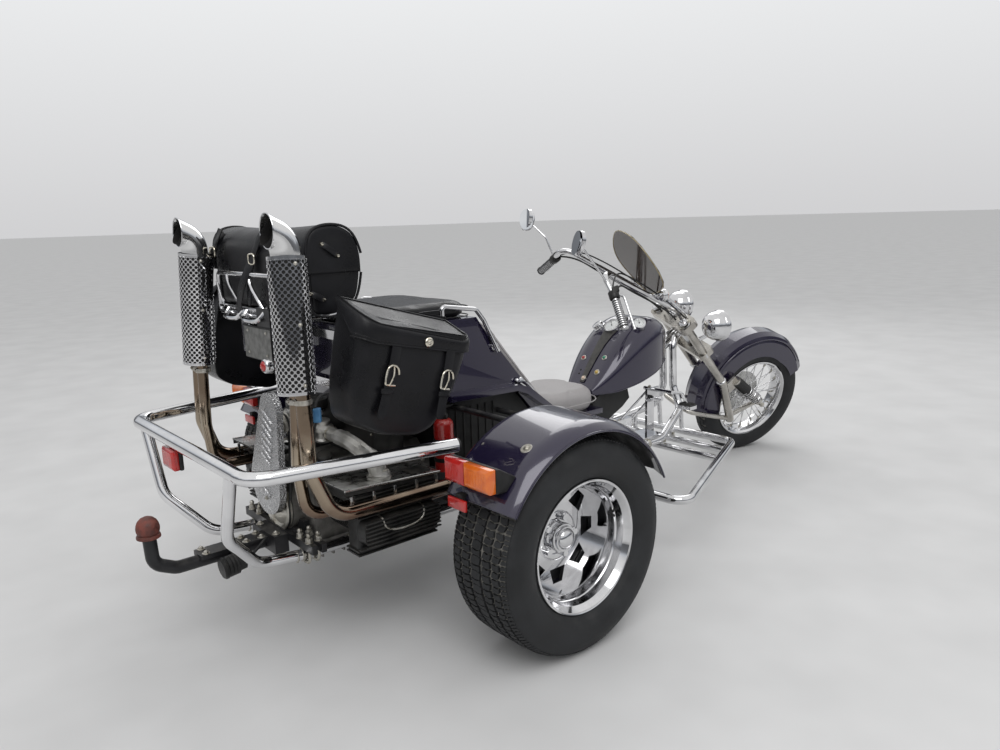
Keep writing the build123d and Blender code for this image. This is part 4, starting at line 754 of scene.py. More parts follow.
red = [lens(-644, -728, 590, 658, -357, -336, 10), ribs_on(-657, -716, 603, 645, -364, 8)]
amber = [lens(-730, -841, 590, 658, -357, -336, 10), ribs_on(-743, -828, 603, 645, -364, 12)]
keep(mirrored(joined(red)), "red_lenses", RED_LENS)
keep(mirrored(joined(amber)), "amber_lenses", AMBER_LENS)
reflector = lens(-654, -732, 513, 545, -358.5, -350, 3)
tab = stood(-350, -680, -706, 524, 556, Vector((0.023, 0, 0)), 2)
keep(mirrored(reflector), "reflectors", RED_LENS)
keep(mirrored(tab), "reflector_tabs", PLASTIC)
fog = lens(52, 148, 574, 638, -872, -856, 8)
keep(joined([fog, ribs_on(62, 138, 584, 628, -877, 9)]), "fog_lens", RED_LENS)
shell = stood(-856, 50, 150, 572, 640, Vector((0.014, 0, 0)), 5)
stalk = stood(-842, 88, 112, 620, 648, Vector((-0.008, 0, 0)), 2)
keep(joined([shell, stalk]), "fog_shell", PLASTIC)

# Body tub: glass-fibre under both seats in the fenders' violet, a wedge with a wide ledge round it,
# held down at the back by chromed latches. Its moulded edges are rounded.


def softened(node, width, finish, name, body="body", cells=0.0):
    """A drawn solid with its moulded or sewn edges rounded, in its place."""
    made = nodes[node].copy()
    made.data = nodes[node].data.copy()
    bpy.context.collection.objects.link(made)
    chosen(made)
    bpy.ops.object.mode_set(mode="EDIT")
    bpy.ops.mesh.select_all(action="SELECT")
    bpy.ops.mesh.remove_doubles(threshold=0.00002)
    bpy.ops.mesh.dissolve_limited(angle_limit=radians(3))
    bpy.ops.object.mode_set(mode="OBJECT")
    if cells:
        modify(made, "REMESH", mode="VOXEL", voxel_size=cells)
        modify(made, "SMOOTH", factor=0.6, iterations=max(2, int(width / 1.2)))
    else:
        modify(made, "BEVEL", width=width / 1000, segments=3, limit_method="ANGLE", angle_limit=radians(24))
    keep(made, name, finish, body)
    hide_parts(node)
    return made


softened("body_tub", 5, PAINT, "tub")
catches = []
for side in (-1, 1):
    plate = pushed([P(272, side * 248, 732), P(342, side * 248, 686), P(338, side * 248, 676),
                    P(266, side * 248, 722)], Vector((0, side * 0.012, 0)), 2)
    hook = pipe([P(276, side * 262, 728), P(300, side * 270, 716), P(332, side * 264, 694),
                 P(352, side * 258, 672)], 5.5)
    button = turned([(0, 12), (8, 11), (11, 7), (11, 0), (0, 0)], P(286, side * 258, 722),
                    Vector((0, side, 0.3)), 20)
    catches += [plate, hook, button]
keep(joined(catches), "tub_catches", CHROME)
vents = []
for side in (-1, 1):
    slant = Vector((0.36, 0, -0.93))
    for k in range(4):
        start = P(152 + 6 * k, side * 246, 900 - 8 * k)
        vents.append(pipe([start, start + slant * 0.026], 1.6, fine=1, smooth=False))
keep(joined(vents), "tub_vents", BLACK)

# Tray: the black box under the tub with the battery bay, and the side panel ahead of the seat, whose black
# is painted shade where the tub's tongue lies in shade; pressed plastic with a ribbed flank.
# The tray takes black plastic all over; on its side panel ahead of the seat that black is painted shade.
softened("tray", 4, PLASTIC, "tray_box")
flank = [pushed([P(x, -233, 470), P(x + 6, -233, 470), P(x + 6, -233, 660), P(x, -233, 660)],
                Vector((0, -0.003, 0)), 1, 1) for x in range(0, 200, 34)]
keep(mirrored(joined(flank)), "tray_ribs", PLASTIC)

# Passenger's seat: black leather over foam, sewn round its top edge with a piped seam.
LEATHER = finish_of("black leather", (0.0045, 0.0045, 0.0055), (0.010, 0.010, 0.012), (0.24, 0.38), 0.0, 8,
                    0.0006, 430, dust=0.04, shine=0.28)


def stuffed(made, name, finish, cap=0.012, pressure=4.0, cell=0.006, body="body"):
    """A cushion blown up as cloth, each point moving no more than the cap, then smoothed once."""
    modify(made, "REMESH", mode="VOXEL", voxel_size=cell)
    flat = [vertex.co.copy() for vertex in made.data.vertices]
    cloth = made.modifiers.new("cloth", "CLOTH")
    cloth.settings.use_pressure = True
    cloth.settings.uniform_pressure_force = pressure
    cloth.settings.effector_weights.gravity = 0
    cloth.settings.quality = 5
    scene = bpy.context.scene
    for step in range(1, 21):
        scene.frame_set(step)
    chosen(made)
    bpy.ops.object.modifier_apply(modifier=cloth.name)
    scene.frame_set(1)
    for vertex, start in zip(made.data.vertices, flat):
        shift = vertex.co - start
        if shift.length > cap:
            vertex.co = start + shift.normalized() * cap
    modify(made, "SMOOTH", factor=0.5, iterations=3)
    modify(made, "SUBSURF", levels=1, render_levels=1)
    keep(made, name, finish, body)
    return made


def rounded(centre, size, turn=0.0, corner=40, edge=18):
    """A flat box with round corners and softly rounded edges, turned about Y; millimetres and degrees."""
    clear()
    bpy.ops.mesh.primitive_cube_add(size=1, location=centre, rotation=(0, radians(turn), 0))
    made = bpy.context.object
    made.scale = Vector(size) / 1000
    bpy.ops.object.transform_apply(location=False, rotation=False, scale=True)
    bpy.ops.object.mode_set(mode="EDIT")
    bpy.ops.mesh.select_mode(type="EDGE")
    bpy.ops.mesh.select_all(action="DESELECT")
    shape = bmesh.from_edit_mesh(made.data)
    for edge_line in shape.edges:
        line = edge_line.verts[0].co - edge_line.verts[1].co
        if abs(line.z) > 0.9 * line.length:
            edge_line.select_set(True)
    bmesh.update_edit_mesh(made.data)
    bpy.ops.mesh.bevel(offset=corner / 1000, segments=7)
    bpy.ops.mesh.select_all(action="SELECT")
    bpy.ops.object.mode_set(mode="OBJECT")
    modify(made, "BEVEL", width=edge / 1000, segments=4, limit_method="ANGLE", angle_limit=radians(40))
    return made


def seam_round(centre, size, turn, corner, high, radius, name, finish, body="body"):
    """A piped seam round a cushion at one height above its middle."""
    half_x, half_y = size[0] / 2 - corner, size[1] / 2 - corner
    spin = Matrix.Rotation(radians(turn), 3, "Y")
    ring = []
    for k in range(32):
        t = 2 * pi * (k + 0.5) / 32
        place = Vector(((half_x if cos(t) > 0 else -half_x) + corner * cos(t),
                        (half_y if sin(t) > 0 else -half_y) + corner * sin(t), high)) / 1000
        ring.append(centre + spin @ place)
    return keep(pipe(ring, radius, closed=True, fine=2, smooth=False), name, finish, body)


seat_middle = P(-112, 0, 1003)
seat = stuffed(rounded(seat_middle, (424, 454, 44), 0, 66, 16), "passenger_cushion", LEATHER, 0.009)
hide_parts("passenger_seat")
seam_round(seat_middle, (440, 470, 0), 0, 72, 8, 2.6, "passenger_piping", LEATHER)
seam_round(seat_middle, (440, 470, 0), 0, 72, -22, 2.2, "passenger_low_piping", LEATHER)

# Driver's seat: pale grey vinyl, a broad rounded cushion on the tub's tongue and a long back pad that
# lies up the slope, with its edge seam.
VINYL = finish_of("grey vinyl", (0.30, 0.285, 0.285), (0.37, 0.355, 0.355), (0.42, 0.58), 0.0, 6, 0.0010,
                  520, dust=0.2, dust_colour=(0.24, 0.23, 0.22))
saddle_middle = P(684, 0, 548)
saddle = stuffed(rounded(saddle_middle, (336, 344, 84), 0, 120, 30), "driver_cushion", VINYL, 0.010)
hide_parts("driver_seat")
pad_middle, pad_turn = P(290, 0, 743.5) + Vector((0.763, 0, 0.646)) * 0.027, 49.8
pad = stuffed(rounded(pad_middle, (484, 414, 40), pad_turn, 56, 15),
              "driver_back_pad", VINYL, 0.008)
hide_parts("driver_seat")
seam_round(saddle_middle, (352, 362, 0), 0, 124, -4, 2.4, "driver_piping", VINYL)
seam_round(pad_middle, (500, 430, 0), pad_turn, 60, 0, 2.4, "pad_piping", VINYL)

# Hand rails: chromed rod beside the passenger, flattened at its ends and screwed to the tub.
paint(CHROME, "hand_rails")
screws = [(P(x, side * 254, z), (0, side, 0)) for side in (-1, 1) for x, z in ((-57, 955), (176, 862))]
keep(copied(bolt(7, 5, 1.5), screws), "rail_screws", ZINC)
ends = [turned([(0, 9), (7, 8.5), (9, 6), (9, 0), (0, 0)], P(182, side * 258, 850),
               Vector((0.47, 0, -0.88)), 20) for side in (-1, 1)]
keep(joined(ends), "rail_ends", CHROME)

# Tank: pressed steel in the same violet, drop shaped, with a joint flange under its sides. Down its
# middle runs a dark strip with a chromed gauge; the cap, a second gauge and warning lamps flank it.
paint(PAINT, "tank")


def on_tank(x, y, above=0.0):
    """The place on the tank's skin over a point, and the skin's direction there."""
    place, normal = nodes["tank"].ray_cast(P(x, y, 1000), -UP)[1:3]
    return place + normal * above / 1000, normal


STRIP = finish_of("dark strip", (0.030, 0.029, 0.027), (0.065, 0.062, 0.058), (0.4, 0.6), 0.0, 60, 0.0008,
                  330)
outline = [(893, 12), (930, 15), (975, 19), (1020, 23), (1060, 30), (1100, 38), (1140, 34), (1180, 22),
           (1196, 10)]
clear()
bpy.ops.mesh.primitive_grid_add(x_subdivisions=len(outline) - 1, y_subdivisions=4, size=1)
strip = bpy.context.object
bpy.ops.object.mode_set(mode="EDIT")
shape = bmesh.from_edit_mesh(strip.data)
for vertex in shape.verts:
    x, half = outline[round((vertex.co.x + 0.5) * (len(outline) - 1))]
    vertex.co = on_tank(x, vertex.co.y * 2 * half, 1.5)[0]
bmesh.update_edit_mesh(strip.data)
settled(strip)
modify(strip, "SOLIDIFY", thickness=0.004, offset=1)
modify(strip, "BEVEL", width=0.001, segments=2, limit_method="ANGLE", angle_limit=radians(40))
keep(strip, "tank_strip", STRIP)
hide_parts("dials")

DIAL, add, link, shader = material("gauge face")
specks = add("ShaderNodeTexNoise")
specks.inputs["Scale"].default_value = 260
link(add("ShaderNodeTexCoord").outputs["Object"], specks.inputs["Vector"])
tones = ramp(add("ShaderNodeValToRGB"), [(0.42, (0.70, 0.72, 0.72)), (0.60, (0.82, 0.83, 0.82))])
link(specks.outputs["Fac"], tones.inputs[0])
link(tones.outputs[0], shader.inputs["Base Color"])
shader.inputs["Roughness"].default_value = 0.25
shader.inputs["Coat Weight"].default_value = 1.0
gauges = []
for x, y, radius, high, name in ((1104, 0, 40, 18, "speed"), (1152, -113, 30, 22, "fuel")):
    place, normal = on_tank(x, y)
    normal = (normal + Vector((-0.35, 0, 0.25))).normalized()
    gauges.append(turned([(0, -14), (radius - 3, -14), (radius - 1, high - 6), (radius, high),
                          (radius - 1, high + 3), (radius - 4, high + 3), (radius - 5, high - 1),
                          (0, high - 1)], place, normal, 40))
    keep(turned([(0, high), (radius - 7, high), (radius - 5.5, high - 1)], place, normal, 40),
         name + "_face", DIAL)
    flat = normal.orthogonal().normalized()
    centre = place + normal * (high + 1) / 1000
    needle = joined([pipe([centre - flat * 0.004, centre + flat * (radius - 12) / 1000], 0.8, fine=1,
                          smooth=False), turned([(0, 2), (3, 2), (3, 0)], centre, normal, 12)])
    keep(needle, name + "_needle", BLACK)
    ticks = []
    for k in range(11):
        t = radians(150 + 24 * k)
        out = Matrix.Rotation(t, 3, normal) @ flat
        ticks.append(pipe([centre + out * (radius - 13) / 1000, centre + out * (radius - 9) / 1000], 0.5,
                          fine=1, smooth=False))
    keep(joined(ticks), name + "_marks", BLACK)
keep(joined(gauges), "gauge_rims", CHROME)
place, normal = on_tank(1108, 92)
cap = turned([(0, 20), (18, 19.5), (25, 17), (27, 13), (27, 2), (31, 0), (31, -8), (0, -8)], place, normal,
             40)
keep(cap, "fuel_cap", CHROME)
tank_lamps = (("red", 968, 58, 9, (0.30, 0.010, 0.012), (0.42, 0.02, 0.02)),
              ("green", 978, -58, 9, (0.006, 0.16, 0.085), (0.01, 0.26, 0.14)),
              ("gold", 930, -56, 10, (0.42, 0.27, 0.05), (0.60, 0.42, 0.10)),
              ("cream", 906, 0, 9, (0.62, 0.45, 0.33), (0.75, 0.58, 0.45)))
rims = []
for name, x, y, radius, dark, light in tank_lamps:
    place, normal = on_tank(x, y, 3 if y == 0 else 0)
    jewel = turned([(0, radius * 0.9 + 3), (radius * 0.45, radius * 0.75 + 3),
                    (radius * 0.8, radius * 0.4 + 3), (radius * 0.95, 3), (radius * 0.95, -2)], place,
                   normal, 20)
    keep(jewel, name + "_lamp", finish_of(name + " glass", dark, light, (0.08, 0.2), 0.0, 90, coat=0.8,
                                          dust=0.0))
    rims.append(turned([(radius * 0.9, -2), (radius * 0.9, 4), (radius + 2, 4), (radius + 4, 2),
                        (radius + 4, -3)], place, normal, 24))
keep(joined(rims), "lamp_rims", ZINC)
dots = [turned([(0, 2.5), (3.6, 2), (4.4, 0.5), (4.4, -2)], *on_tank(x, 42), 14) for x in (918, 930)]
keep(joined(dots), "tank_studs", RUBBER)
flange = []
for side in (-1, 1):
    line = []
    for x, half, low in ((884, 78, 535), (930, 104, 537), (980, 132, 541), (1040, 148, 554), (1100, 160, 567),
                         (1160, 162, 583), (1220, 160, 600), (1276, 146, 622), (1326, 124, 642)):
        line.append(P(x, side * half, low + 2))
    flange.append(pipe(line, 3.2, fine=2))
keep(joined(flange), "tank_flange", PAINT)

# Saddlebags: black leather over a stiff liner, pitched nose down. The bag's mouth sinks between its
# ends; its lid hangs over the rim and carries a nickel stud. Two straps with C-shaped buckles hang below it.
bag_pitch = radians(13)


def B(a, y, b):
    """A place in a saddlebag's own coordinates: along it, to the left, and up from its base."""
    return P(-560 + a * cos(bag_pitch) + b * sin(bag_pitch), y, 740 - a * sin(bag_pitch) + b * cos(bag_pitch))


def loop_round(stations, count):
    """A closed ring of places through corner points, each corner rounded by its own radius."""
    ring = []
    total = len(stations)
    for k, (x, z, radius) in enumerate(stations):
        before = Vector(stations[k - 1][:2]) - Vector((x, z))
        after = Vector(stations[(k + 1) % total][:2]) - Vector((x, z))
        start = Vector((x, z)) + before.normalized() * min(radius, before.length * 0.48)
        end = Vector((x, z)) + after.normalized() * min(radius, after.length * 0.48)
        for step in range(count):
            t = step / (count - 1)
            ring.append(start * (1 - t) ** 2 + Vector((x, z)) * 2 * t * (1 - t) + end * t * t)
    return ring


def grown_to(made, here, there):
    """Extrudes what is selected and moves each new vertex from its place in one ring to the other ring's."""
    bpy.ops.mesh.extrude_region_move()
    shape = bmesh.from_edit_mesh(made.data)
    for vertex in [v for v in shape.verts if v.select]:
        near = min(range(len(here)), key=lambda k: (here[k] - vertex.co).length_squared)
        vertex.co = there[near]
    bmesh.update_edit_mesh(made.data)


def ring_shell(rings, closed=False):
    """Skins a row of closed rings of equal length into one shell, its last ring closed by a face if asked."""
    made = traced(rings[0] + rings[0][:1])
    bpy.ops.mesh.remove_doubles(threshold=0.000001)
    for here, there in zip(rings, rings[1:]):
        grown_to(made, here, there)
    if closed:
        bpy.ops.mesh.edge_face_add()
    return settled(made)


BAG_LOW = ((6, 40, 180), (12, 22, 196), (30, -26, 232), (60, -33, 252), (110, -46, 278), (170, -49, 300),
           (240, -52, 318), (300, -52, 318), (330, -52, 318), (346, -52, 318))


def bag_ring(level, grow=0.0, bulge=0.0):
    """The bag's outline at one level of its height, rounded at the two outer corners."""
    for (low, a0, a1), (high, c0, c1) in zip(BAG_LOW, BAG_LOW[1:]):
        if low <= level <= high:
            t = (level - low) / (high - low)
            back, ahead_end = a0 + (c0 - a0) * t, a1 + (c1 - a1) * t
    corner = 58 + grow
    ring = loop_round([(back - grow, 415, 4), (ahead_end + grow, 415, 4),
                       (ahead_end + grow, 566 + grow, corner * 0.7),
                       (back - grow, 566 + grow, corner * 0.8)], 9)
    made = []
    for a, y in ring:
        middle = max(0.0, 1 - ((a - (back + ahead_end) / 2) / ((ahead_end - back) / 2)) ** 2)
        out = max(0.0, (y - 500) / 66)
        made.append((a, y + bulge * middle * out))
    return made


rings = []
for level, shrink, bulge in ((6, -70, 0), (6, -30, 0), (6, -8, 0), (12, -3, 1), (30, 0, 3), (60, 0, 5),
                             (110, 0, 8), (170, 0, 9), (240, 0, 7), (300, 0, 3), (330, 0, 0), (346, 0, 0)):
    ring = []
    for a, y in bag_ring(level, max(shrink, -8), bulge):
        if shrink < -8:
            y = 490 + (y - 490) * (0.12 if shrink == -70 else 0.6)
            a = 110 + (a - 110) * (0.12 if shrink == -70 else 0.6)
        height = level
        if level > 320:
            height = level - 36 * (y - 419) / 147 * (1 if level > 340 else 0.5)
        ring.append(B(a, -y, height))
    rings.append(ring)
bag = ring_shell(rings[::-1], closed=True)
modify(bag, "SOLIDIFY", thickness=0.004, offset=-1)
modify(bag, "SUBSURF", levels=1, render_levels=1)
bags = keep(mirrored(bag), "bags", LEATHER)
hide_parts("saddlebags")


def lid_top(a):
    """How high the lid's top stands along the bag: up at both ends and sunk between them."""
    t = (a + 61) / 388
    return 371 - 34 * sin(pi * min(1, max(0, t))) ** 0.8 - 22 * t * t


def lid_edge(a):
    """The lid's lower edge along the bag."""
    t = (a + 61) / 388
    return 266 - 24 * sin(pi * min(1, max(0, t))) + 2 * t


lid_rings = []
for grow, share in ((9, 0.0), (10.5, 0.06), (9, 0.14), (9.5, 0.5), (9, 0.76), (7, 0.88), (2, 0.97),
                    (-6, 1.01), (-26, 1.03), (-52, 1.02), (-70, 1.01)):
    ring = []
    for a, y in bag_ring(240, 9):
        if grow < 9:
            a = 133 + (a - 133) * (1 - (9 - grow) / 194)
            y = 490 + (y - 490) * (1 - (9 - grow) / 85)
        high = lid_top(a) - 44 * max(0.0, (y - 425) / 150)
        low = lid_edge(a) if y > 432 else 346 + (432 - y) * 0.6
        if grow > 9:
            a, y = 133 + (a - 133) * 1.008, 490 + (y - 490) * 1.02
        ring.append(B(a, -max(y, 409.5), low + (high - low) * share))
    lid_rings.append(ring)
lid = ring_shell(lid_rings, closed=True)
modify(lid, "SOLIDIFY", thickness=0.0036, offset=-1)
modify(lid, "SUBSURF", levels=1, render_levels=1)
edge_bead = pipe([place for place in lid_rings[0] if place.y < -0.430], 2.4, fine=2, smooth=False)
rim_bead = pipe([place + Vector((0, 0, 0.001)) for place in lid_rings[6]], 2.6, closed=True, fine=2,
                smooth=False)
hem = pipe([place + Vector((0, -0.0005, 0)) for place in lid_rings[2] if place.y < -0.440], 1.1, fine=1,
           smooth=False)
lid_bead = joined([edge_bead, rim_bead, hem])
for part, name in ((lid, "flap"), (lid_bead, "piping")):
    for side, word in ((-1, "right"), (1, "left")):
        one = part.copy()
        one.data = part.data.copy()
        if side > 0:
            one.data.transform(Matrix.Scale(-1, 4, (0, 1, 0)))
            one.data.flip_normals()
        bpy.context.collection.objects.link(one)
        keep(one, "saddlebag_" + name + "_" + word, LEATHER, "saddlebag_lid_" + word)
        if name == "flap":
            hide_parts("saddlebag_lid_" + word)
    bpy.data.objects.remove(part)


def eased(places, steps=6):
    """More places on a smooth line through the given ones."""
    line = []
    chain = [places[0]] + list(places) + [places[-1]]
    for p0, p1, p2, p3 in zip(chain, chain[1:], chain[2:], chain[3:]):
        for k in range(steps):
            t = k / steps
            line.append(0.5 * (2 * p1 + (p2 - p0) * t + (2 * p0 - 5 * p1 + 4 * p2 - p3) * t * t +
                               (3 * p1 - p0 - 3 * p2 + p3) * t ** 3))
    return line + [places[-1]]


def strap(places, across, width=30, thick=3.2, point=True):
    """A leather strap along a line of places, its width along one direction, its free end cut to a point."""
    line = eased(places)
    across = across.normalized() * width / 2000
    made = traced([place - across for place in line])
    bpy.ops.mesh.extrude_region_move(TRANSFORM_OT_translate={"value": across * 2})
    if point:
        shape = bmesh.from_edit_mesh(made.data)
        for vertex in shape.verts:
            if (vertex.co - line[-1]).length < width / 1990:
                vertex.co = line[-1] + (vertex.co - line[-1]) * 0.42
            elif (vertex.co - line[-2]).length < width / 1990:
                vertex.co = line[-2] + (vertex.co - line[-2]) * 0.86
        bmesh.update_edit_mesh(made.data)
    settled(made)
    modify(made, "SOLIDIFY", thickness=thick / 1000, offset=0)
    modify(made, "BEVEL", width=0.0008, segments=2, limit_method="ANGLE", angle_limit=radians(50))
    return made


NICKEL = finish_of("nickel", (0.62, 0.57, 0.47), (0.80, 0.76, 0.66), (0.12, 0.28), 1.0, 40, dust=0.1)
fore = Vector((cos(bag_pitch), 0, -sin(bag_pitch)))
rise = Vector((sin(bag_pitch), 0, cos(bag_pitch)))
straps, loops, buckles = [], [], []
for top_at, buckle_at, tail_at, end_at in (
    ((-449, 975), (-473, 899), (-498, 842), (-523, 788)),
    ((-266, 940), (-289, 858), (-308, 802), (-330, 751)),
):
    run = [P(top_at[0], -576, top_at[1]), P((top_at[0] * 2 + buckle_at[0]) / 3, -577,
                                            (top_at[1] * 2 + buckle_at[1]) / 3),
           P(buckle_at[0], -579, buckle_at[1]), P(tail_at[0], -583, tail_at[1]),
           P(end_at[0], -592, end_at[1])]
    straps.append(strap(run, fore))
    loops.append(strap([P(tail_at[0] + 6, -584, tail_at[1] + 16) - fore * 0.021,
                        P(tail_at[0] + 6, -587, tail_at[1] + 16) - fore * 0.012,
                        P(tail_at[0] + 6, -587, tail_at[1] + 16) + fore * 0.012,
                        P(tail_at[0] + 6, -580, tail_at[1] + 16) + fore * 0.021], rise, 13, 3, False))
    centre = P(buckle_at[0], -583, buckle_at[1])
    corners = [(12, -27), (-17, -28), (-21, -22), (-20, 0), (-17, 18), (-6, 28), (10, 27), (19, 16), (20, 4)]
    buckles.append(pipe([centre + fore * u / 1000 + rise * v / 1000 for u, v in corners], 3.1, fine=3))
    buckles.append(pipe([centre + fore * u / 1000 + rise * v / 1000 + Vector((0, -w / 1000, 0))
                         for u, v, w in ((2, 24, 0), (3, 4, 5), (-3, -14, 5), (-8, -29, 3))], 2.2, fine=2))
keep(mirrored(joined(straps + loops)), "bag_straps", LEATHER)
keep(mirrored(joined(buckles)), "bag_buckles", NICKEL)
for side, word in ((-1, "right"), (1, "left")):
    stud = turned([(0, 5), (4, 4.5), (6, 3), (9, 3.4), (12, 2.4), (14, 0.4), (14, -3), (0, -3)],
                  P(-343, side * 579.5, 974), Vector((0, side, 0.05)), 24)
    keep(stud, "lid_stud_" + word, NICKEL, "saddlebag_lid_" + word)

# Trunk: a round-topped black leather bag across the stern, its stiff ends piped all round. The lid
# comes down over the back; two straps hang behind it and loops are riveted to the ends.


def trunk_shell(outline, half, soft, drop):
    """An outline of (x, z, corner radius) carried across the trunk, its ends rounded, its middle sagging."""
    base = loop_round(outline, 6)
    centre = Vector((sum(p[0] for p in base) / len(base), sum(p[1] for p in base) / len(base)))
    rings = []
    for y, inset in ((-half + 5, 90), (-half + 1, 45), (-half, soft), (-half + 3, 5), (-half + 12, 0),
                     (-half * 0.7, 0), (-half * 0.35, 0), (0, 0), (half * 0.35, 0), (half * 0.7, 0),
                     (half - 12, 0), (half - 3, 5), (half, soft), (half - 1, 45), (half - 5, 90)):
        sag = drop * (1 - (y / half) ** 2)
        ring = []
        for x, z in base:
            away = Vector((x, z)) - centre
            away *= max(0.05, (away.length - inset) / away.length)
            ring.append(P(centre.x + away.x, y, centre.y + away.y - sag * max(0.0, (z - 1190) / 110)))
        rings.append(ring)
    made = ring_shell(rings)
    chosen(made)
    bpy.ops.object.mode_set(mode="EDIT")
    bpy.ops.mesh.select_all(action="DESELECT")
    bpy.ops.mesh.select_non_manifold()
    bpy.ops.mesh.fill_holes(sides=0)
    bpy.ops.mesh.select_all(action="SELECT")
    bpy.ops.mesh.normals_make_consistent(inside=False)
    return made


def opened(made, test):
    """Takes out the faces that a test names, then gives the shell its wall."""
    bpy.ops.mesh.select_mode(type="FACE")
    bpy.ops.mesh.select_all(action="DESELECT")
    shape = bmesh.from_edit_mesh(made.data)
    for face in shape.faces:
        if test(face.calc_center_median() * 1000 + Vector((730, 0, 0)), face.normal):
            face.select_set(True)
    bmesh.update_edit_mesh(made.data)
    bpy.ops.mesh.delete(type="FACE")
    bpy.ops.mesh.select_mode(type="VERT")
    bpy.ops.object.mode_set(mode="OBJECT")
    modify(made, "SOLIDIFY", thickness=0.0036, offset=-1)
    return modify(made, "SUBSURF", levels=1, render_levels=1)


trunk = trunk_shell([(-566, 1054, 26), (-568, 1208, 3), (-402, 1208, 3), (-398, 1171, 20), (-410, 1096, 60),
                     (-450, 1058, 50), (-500, 1046, 30)], 327, 12, 0)
trunk = opened(trunk, lambda at, normal: at.z > 1204 and normal.z > 0.6 and abs(at.y) < 322)
keep(trunk, "trunk", LEATHER)
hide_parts("top_bag")
flap = trunk_shell([(-577, 1164, 3), (-579, 1252, 60), (-556, 1298, 70), (-510, 1310, 60), (-462, 1308, 60),
                    (-414, 1278, 60), (-397, 1222, 40), (-397.5, 1164, 3)], 335, 12, 9)
flap = opened(flap, lambda at, normal: (at.z < 1168 and normal.z < -0.5 and abs(at.y) < 330) or
              (at.x > -402 and at.z < 1221 and abs(at.y) < 326))
keep(flap, "trunk_flap", LEATHER, "top_bag_lid")
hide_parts("top_bag_lid")
piping = []
for side in (-1, 1):
    top_line = [(-576, 1168), (-577, 1240), (-568, 1276), (-549, 1298), (-510, 1308.5), (-462, 1306),
                (-430, 1290), (-408, 1258), (-398, 1222)]
    piping.append(pipe([P(x, side * 332, z) for x, z in top_line], 4, fine=2))
keep(joined(piping), "flap_piping", LEATHER, "top_bag_lid")
low_line = [(-397, 1166), (-404, 1124), (-424, 1080), (-458, 1052), (-500, 1043), (-545, 1048),
            (-565, 1060), (-568, 1110), (-568, 1166)]
keep(joined([pipe([P(x, side * 325, z) for x, z in low_line], 4, fine=2) for side in (-1, 1)]),
     "trunk_piping", LEATHER)
hanging, trim = [], []
for y0, z0, y1, z1 in ((-9, 1214, 99, 1036), (300, 1232, 401, 1057)):
    start, end = P(-586, y0, z0), P(-606, y1, z1)
    across = Vector((0, z0 - z1, y1 - y0))
    hanging.append(strap([P(-560, y0 - 30, z0 + 60), P(-580, y0 - 14, z0 + 26), start,
                          (start + end) / 2 + Vector((-0.012, 0, 0)), end], across, 38))
    hanging.append(strap([P(-582, y0 - 60, z0 + 70), P(-586, y0 - 8, z0 + 14), P(-592, y0 + 24, z0 - 60),
                          P(-604, y0 + 20, z0 - 150)], Vector((0, 1, 0.2)), 32))
    centre = P(-592, y0 + 4, z0 - 6)
    ring = [centre + Vector((0, u, v)) / 1000 for u, v in ((-20, -16), (20, -16), (22, 0), (20, 16),
                                                           (-20, 16), (-22, 0))]
    trim.append(pipe(ring, 3, closed=True, fine=2))
keep(joined(hanging), "trunk_straps", LEATHER)
keep(joined(trim), "trunk_buckles", NICKEL)
for name, lines, body in (("flap_loops", [((-525, 1253), (-476, 1218))], "top_bag_lid"),
                          ("trunk_loops", [((-569, 1116), (-530, 1096))], "body")):
    made, heads = [], []
    for side in (-1, 1):
        for (x0, z0), (x1, z1) in lines:
            run = [P(x0, side * 332, z0), P((3 * x0 + x1) / 4, side * 340, (3 * z0 + z1) / 4),
                   P((x0 + 3 * x1) / 4, side * 340, (z0 + 3 * z1) / 4), P(x1, side * 332, z1)]
            made.append(strap(run, Vector((z1 - z0, 0, x0 - x1)), 16, 3, False))
            heads += [(P(x, side * 338, z), (0, side, 0)) for x, z in ((x0, z0), (x1, z1))]
    keep(joined(made), name, LEATHER, body)
    dome = turned([(0, 3), (4, 2.2), (5.5, 0), (5.5, -4)], ORIGIN, UP, 14)
    keep(copied(dome, heads), name + "_rivets", NICKEL, body)

# Rack: chromed bar under and behind the trunk, a ladder of uprights with two short grab handles.
paint(CHROME, "bag_rack")
bars = [pipe([P(-596, 274, 1129), P(-600, 250, 1098), P(-600, 233, 1071), P(-594, 224, 1050)], 5.5),
        pipe([P(-594, 190, 1157), P(-600, 184, 1133), P(-600, 109, 1075), P(-594, 96, 1052)], 5.5),
        pipe([P(-594, 20, 1157), P(-600, 10, 1130), P(-600, -60, 1075), P(-594, -72, 1052)], 5.5)]
for y0, y1 in ((191, 71), (48, -77)):
    bars.append(pipe([P(-596, y0, 1046), P(-612, y0 - 4, 1026), P(-622, y0 - 20, 1020),
                      P(-622, y1 + 20, 1020), P(-612, y1 + 4, 1026), P(-596, y1, 1046)], 8))
keep(joined(bars), "rack_handles", CHROME)
feet = [(P(-351, y, z), (-1, 0, 0)) for y in (-222, 222) for z in (775, 945)]
keep(copied(bolt(6, 5), feet), "rack_bolts", ZINC)

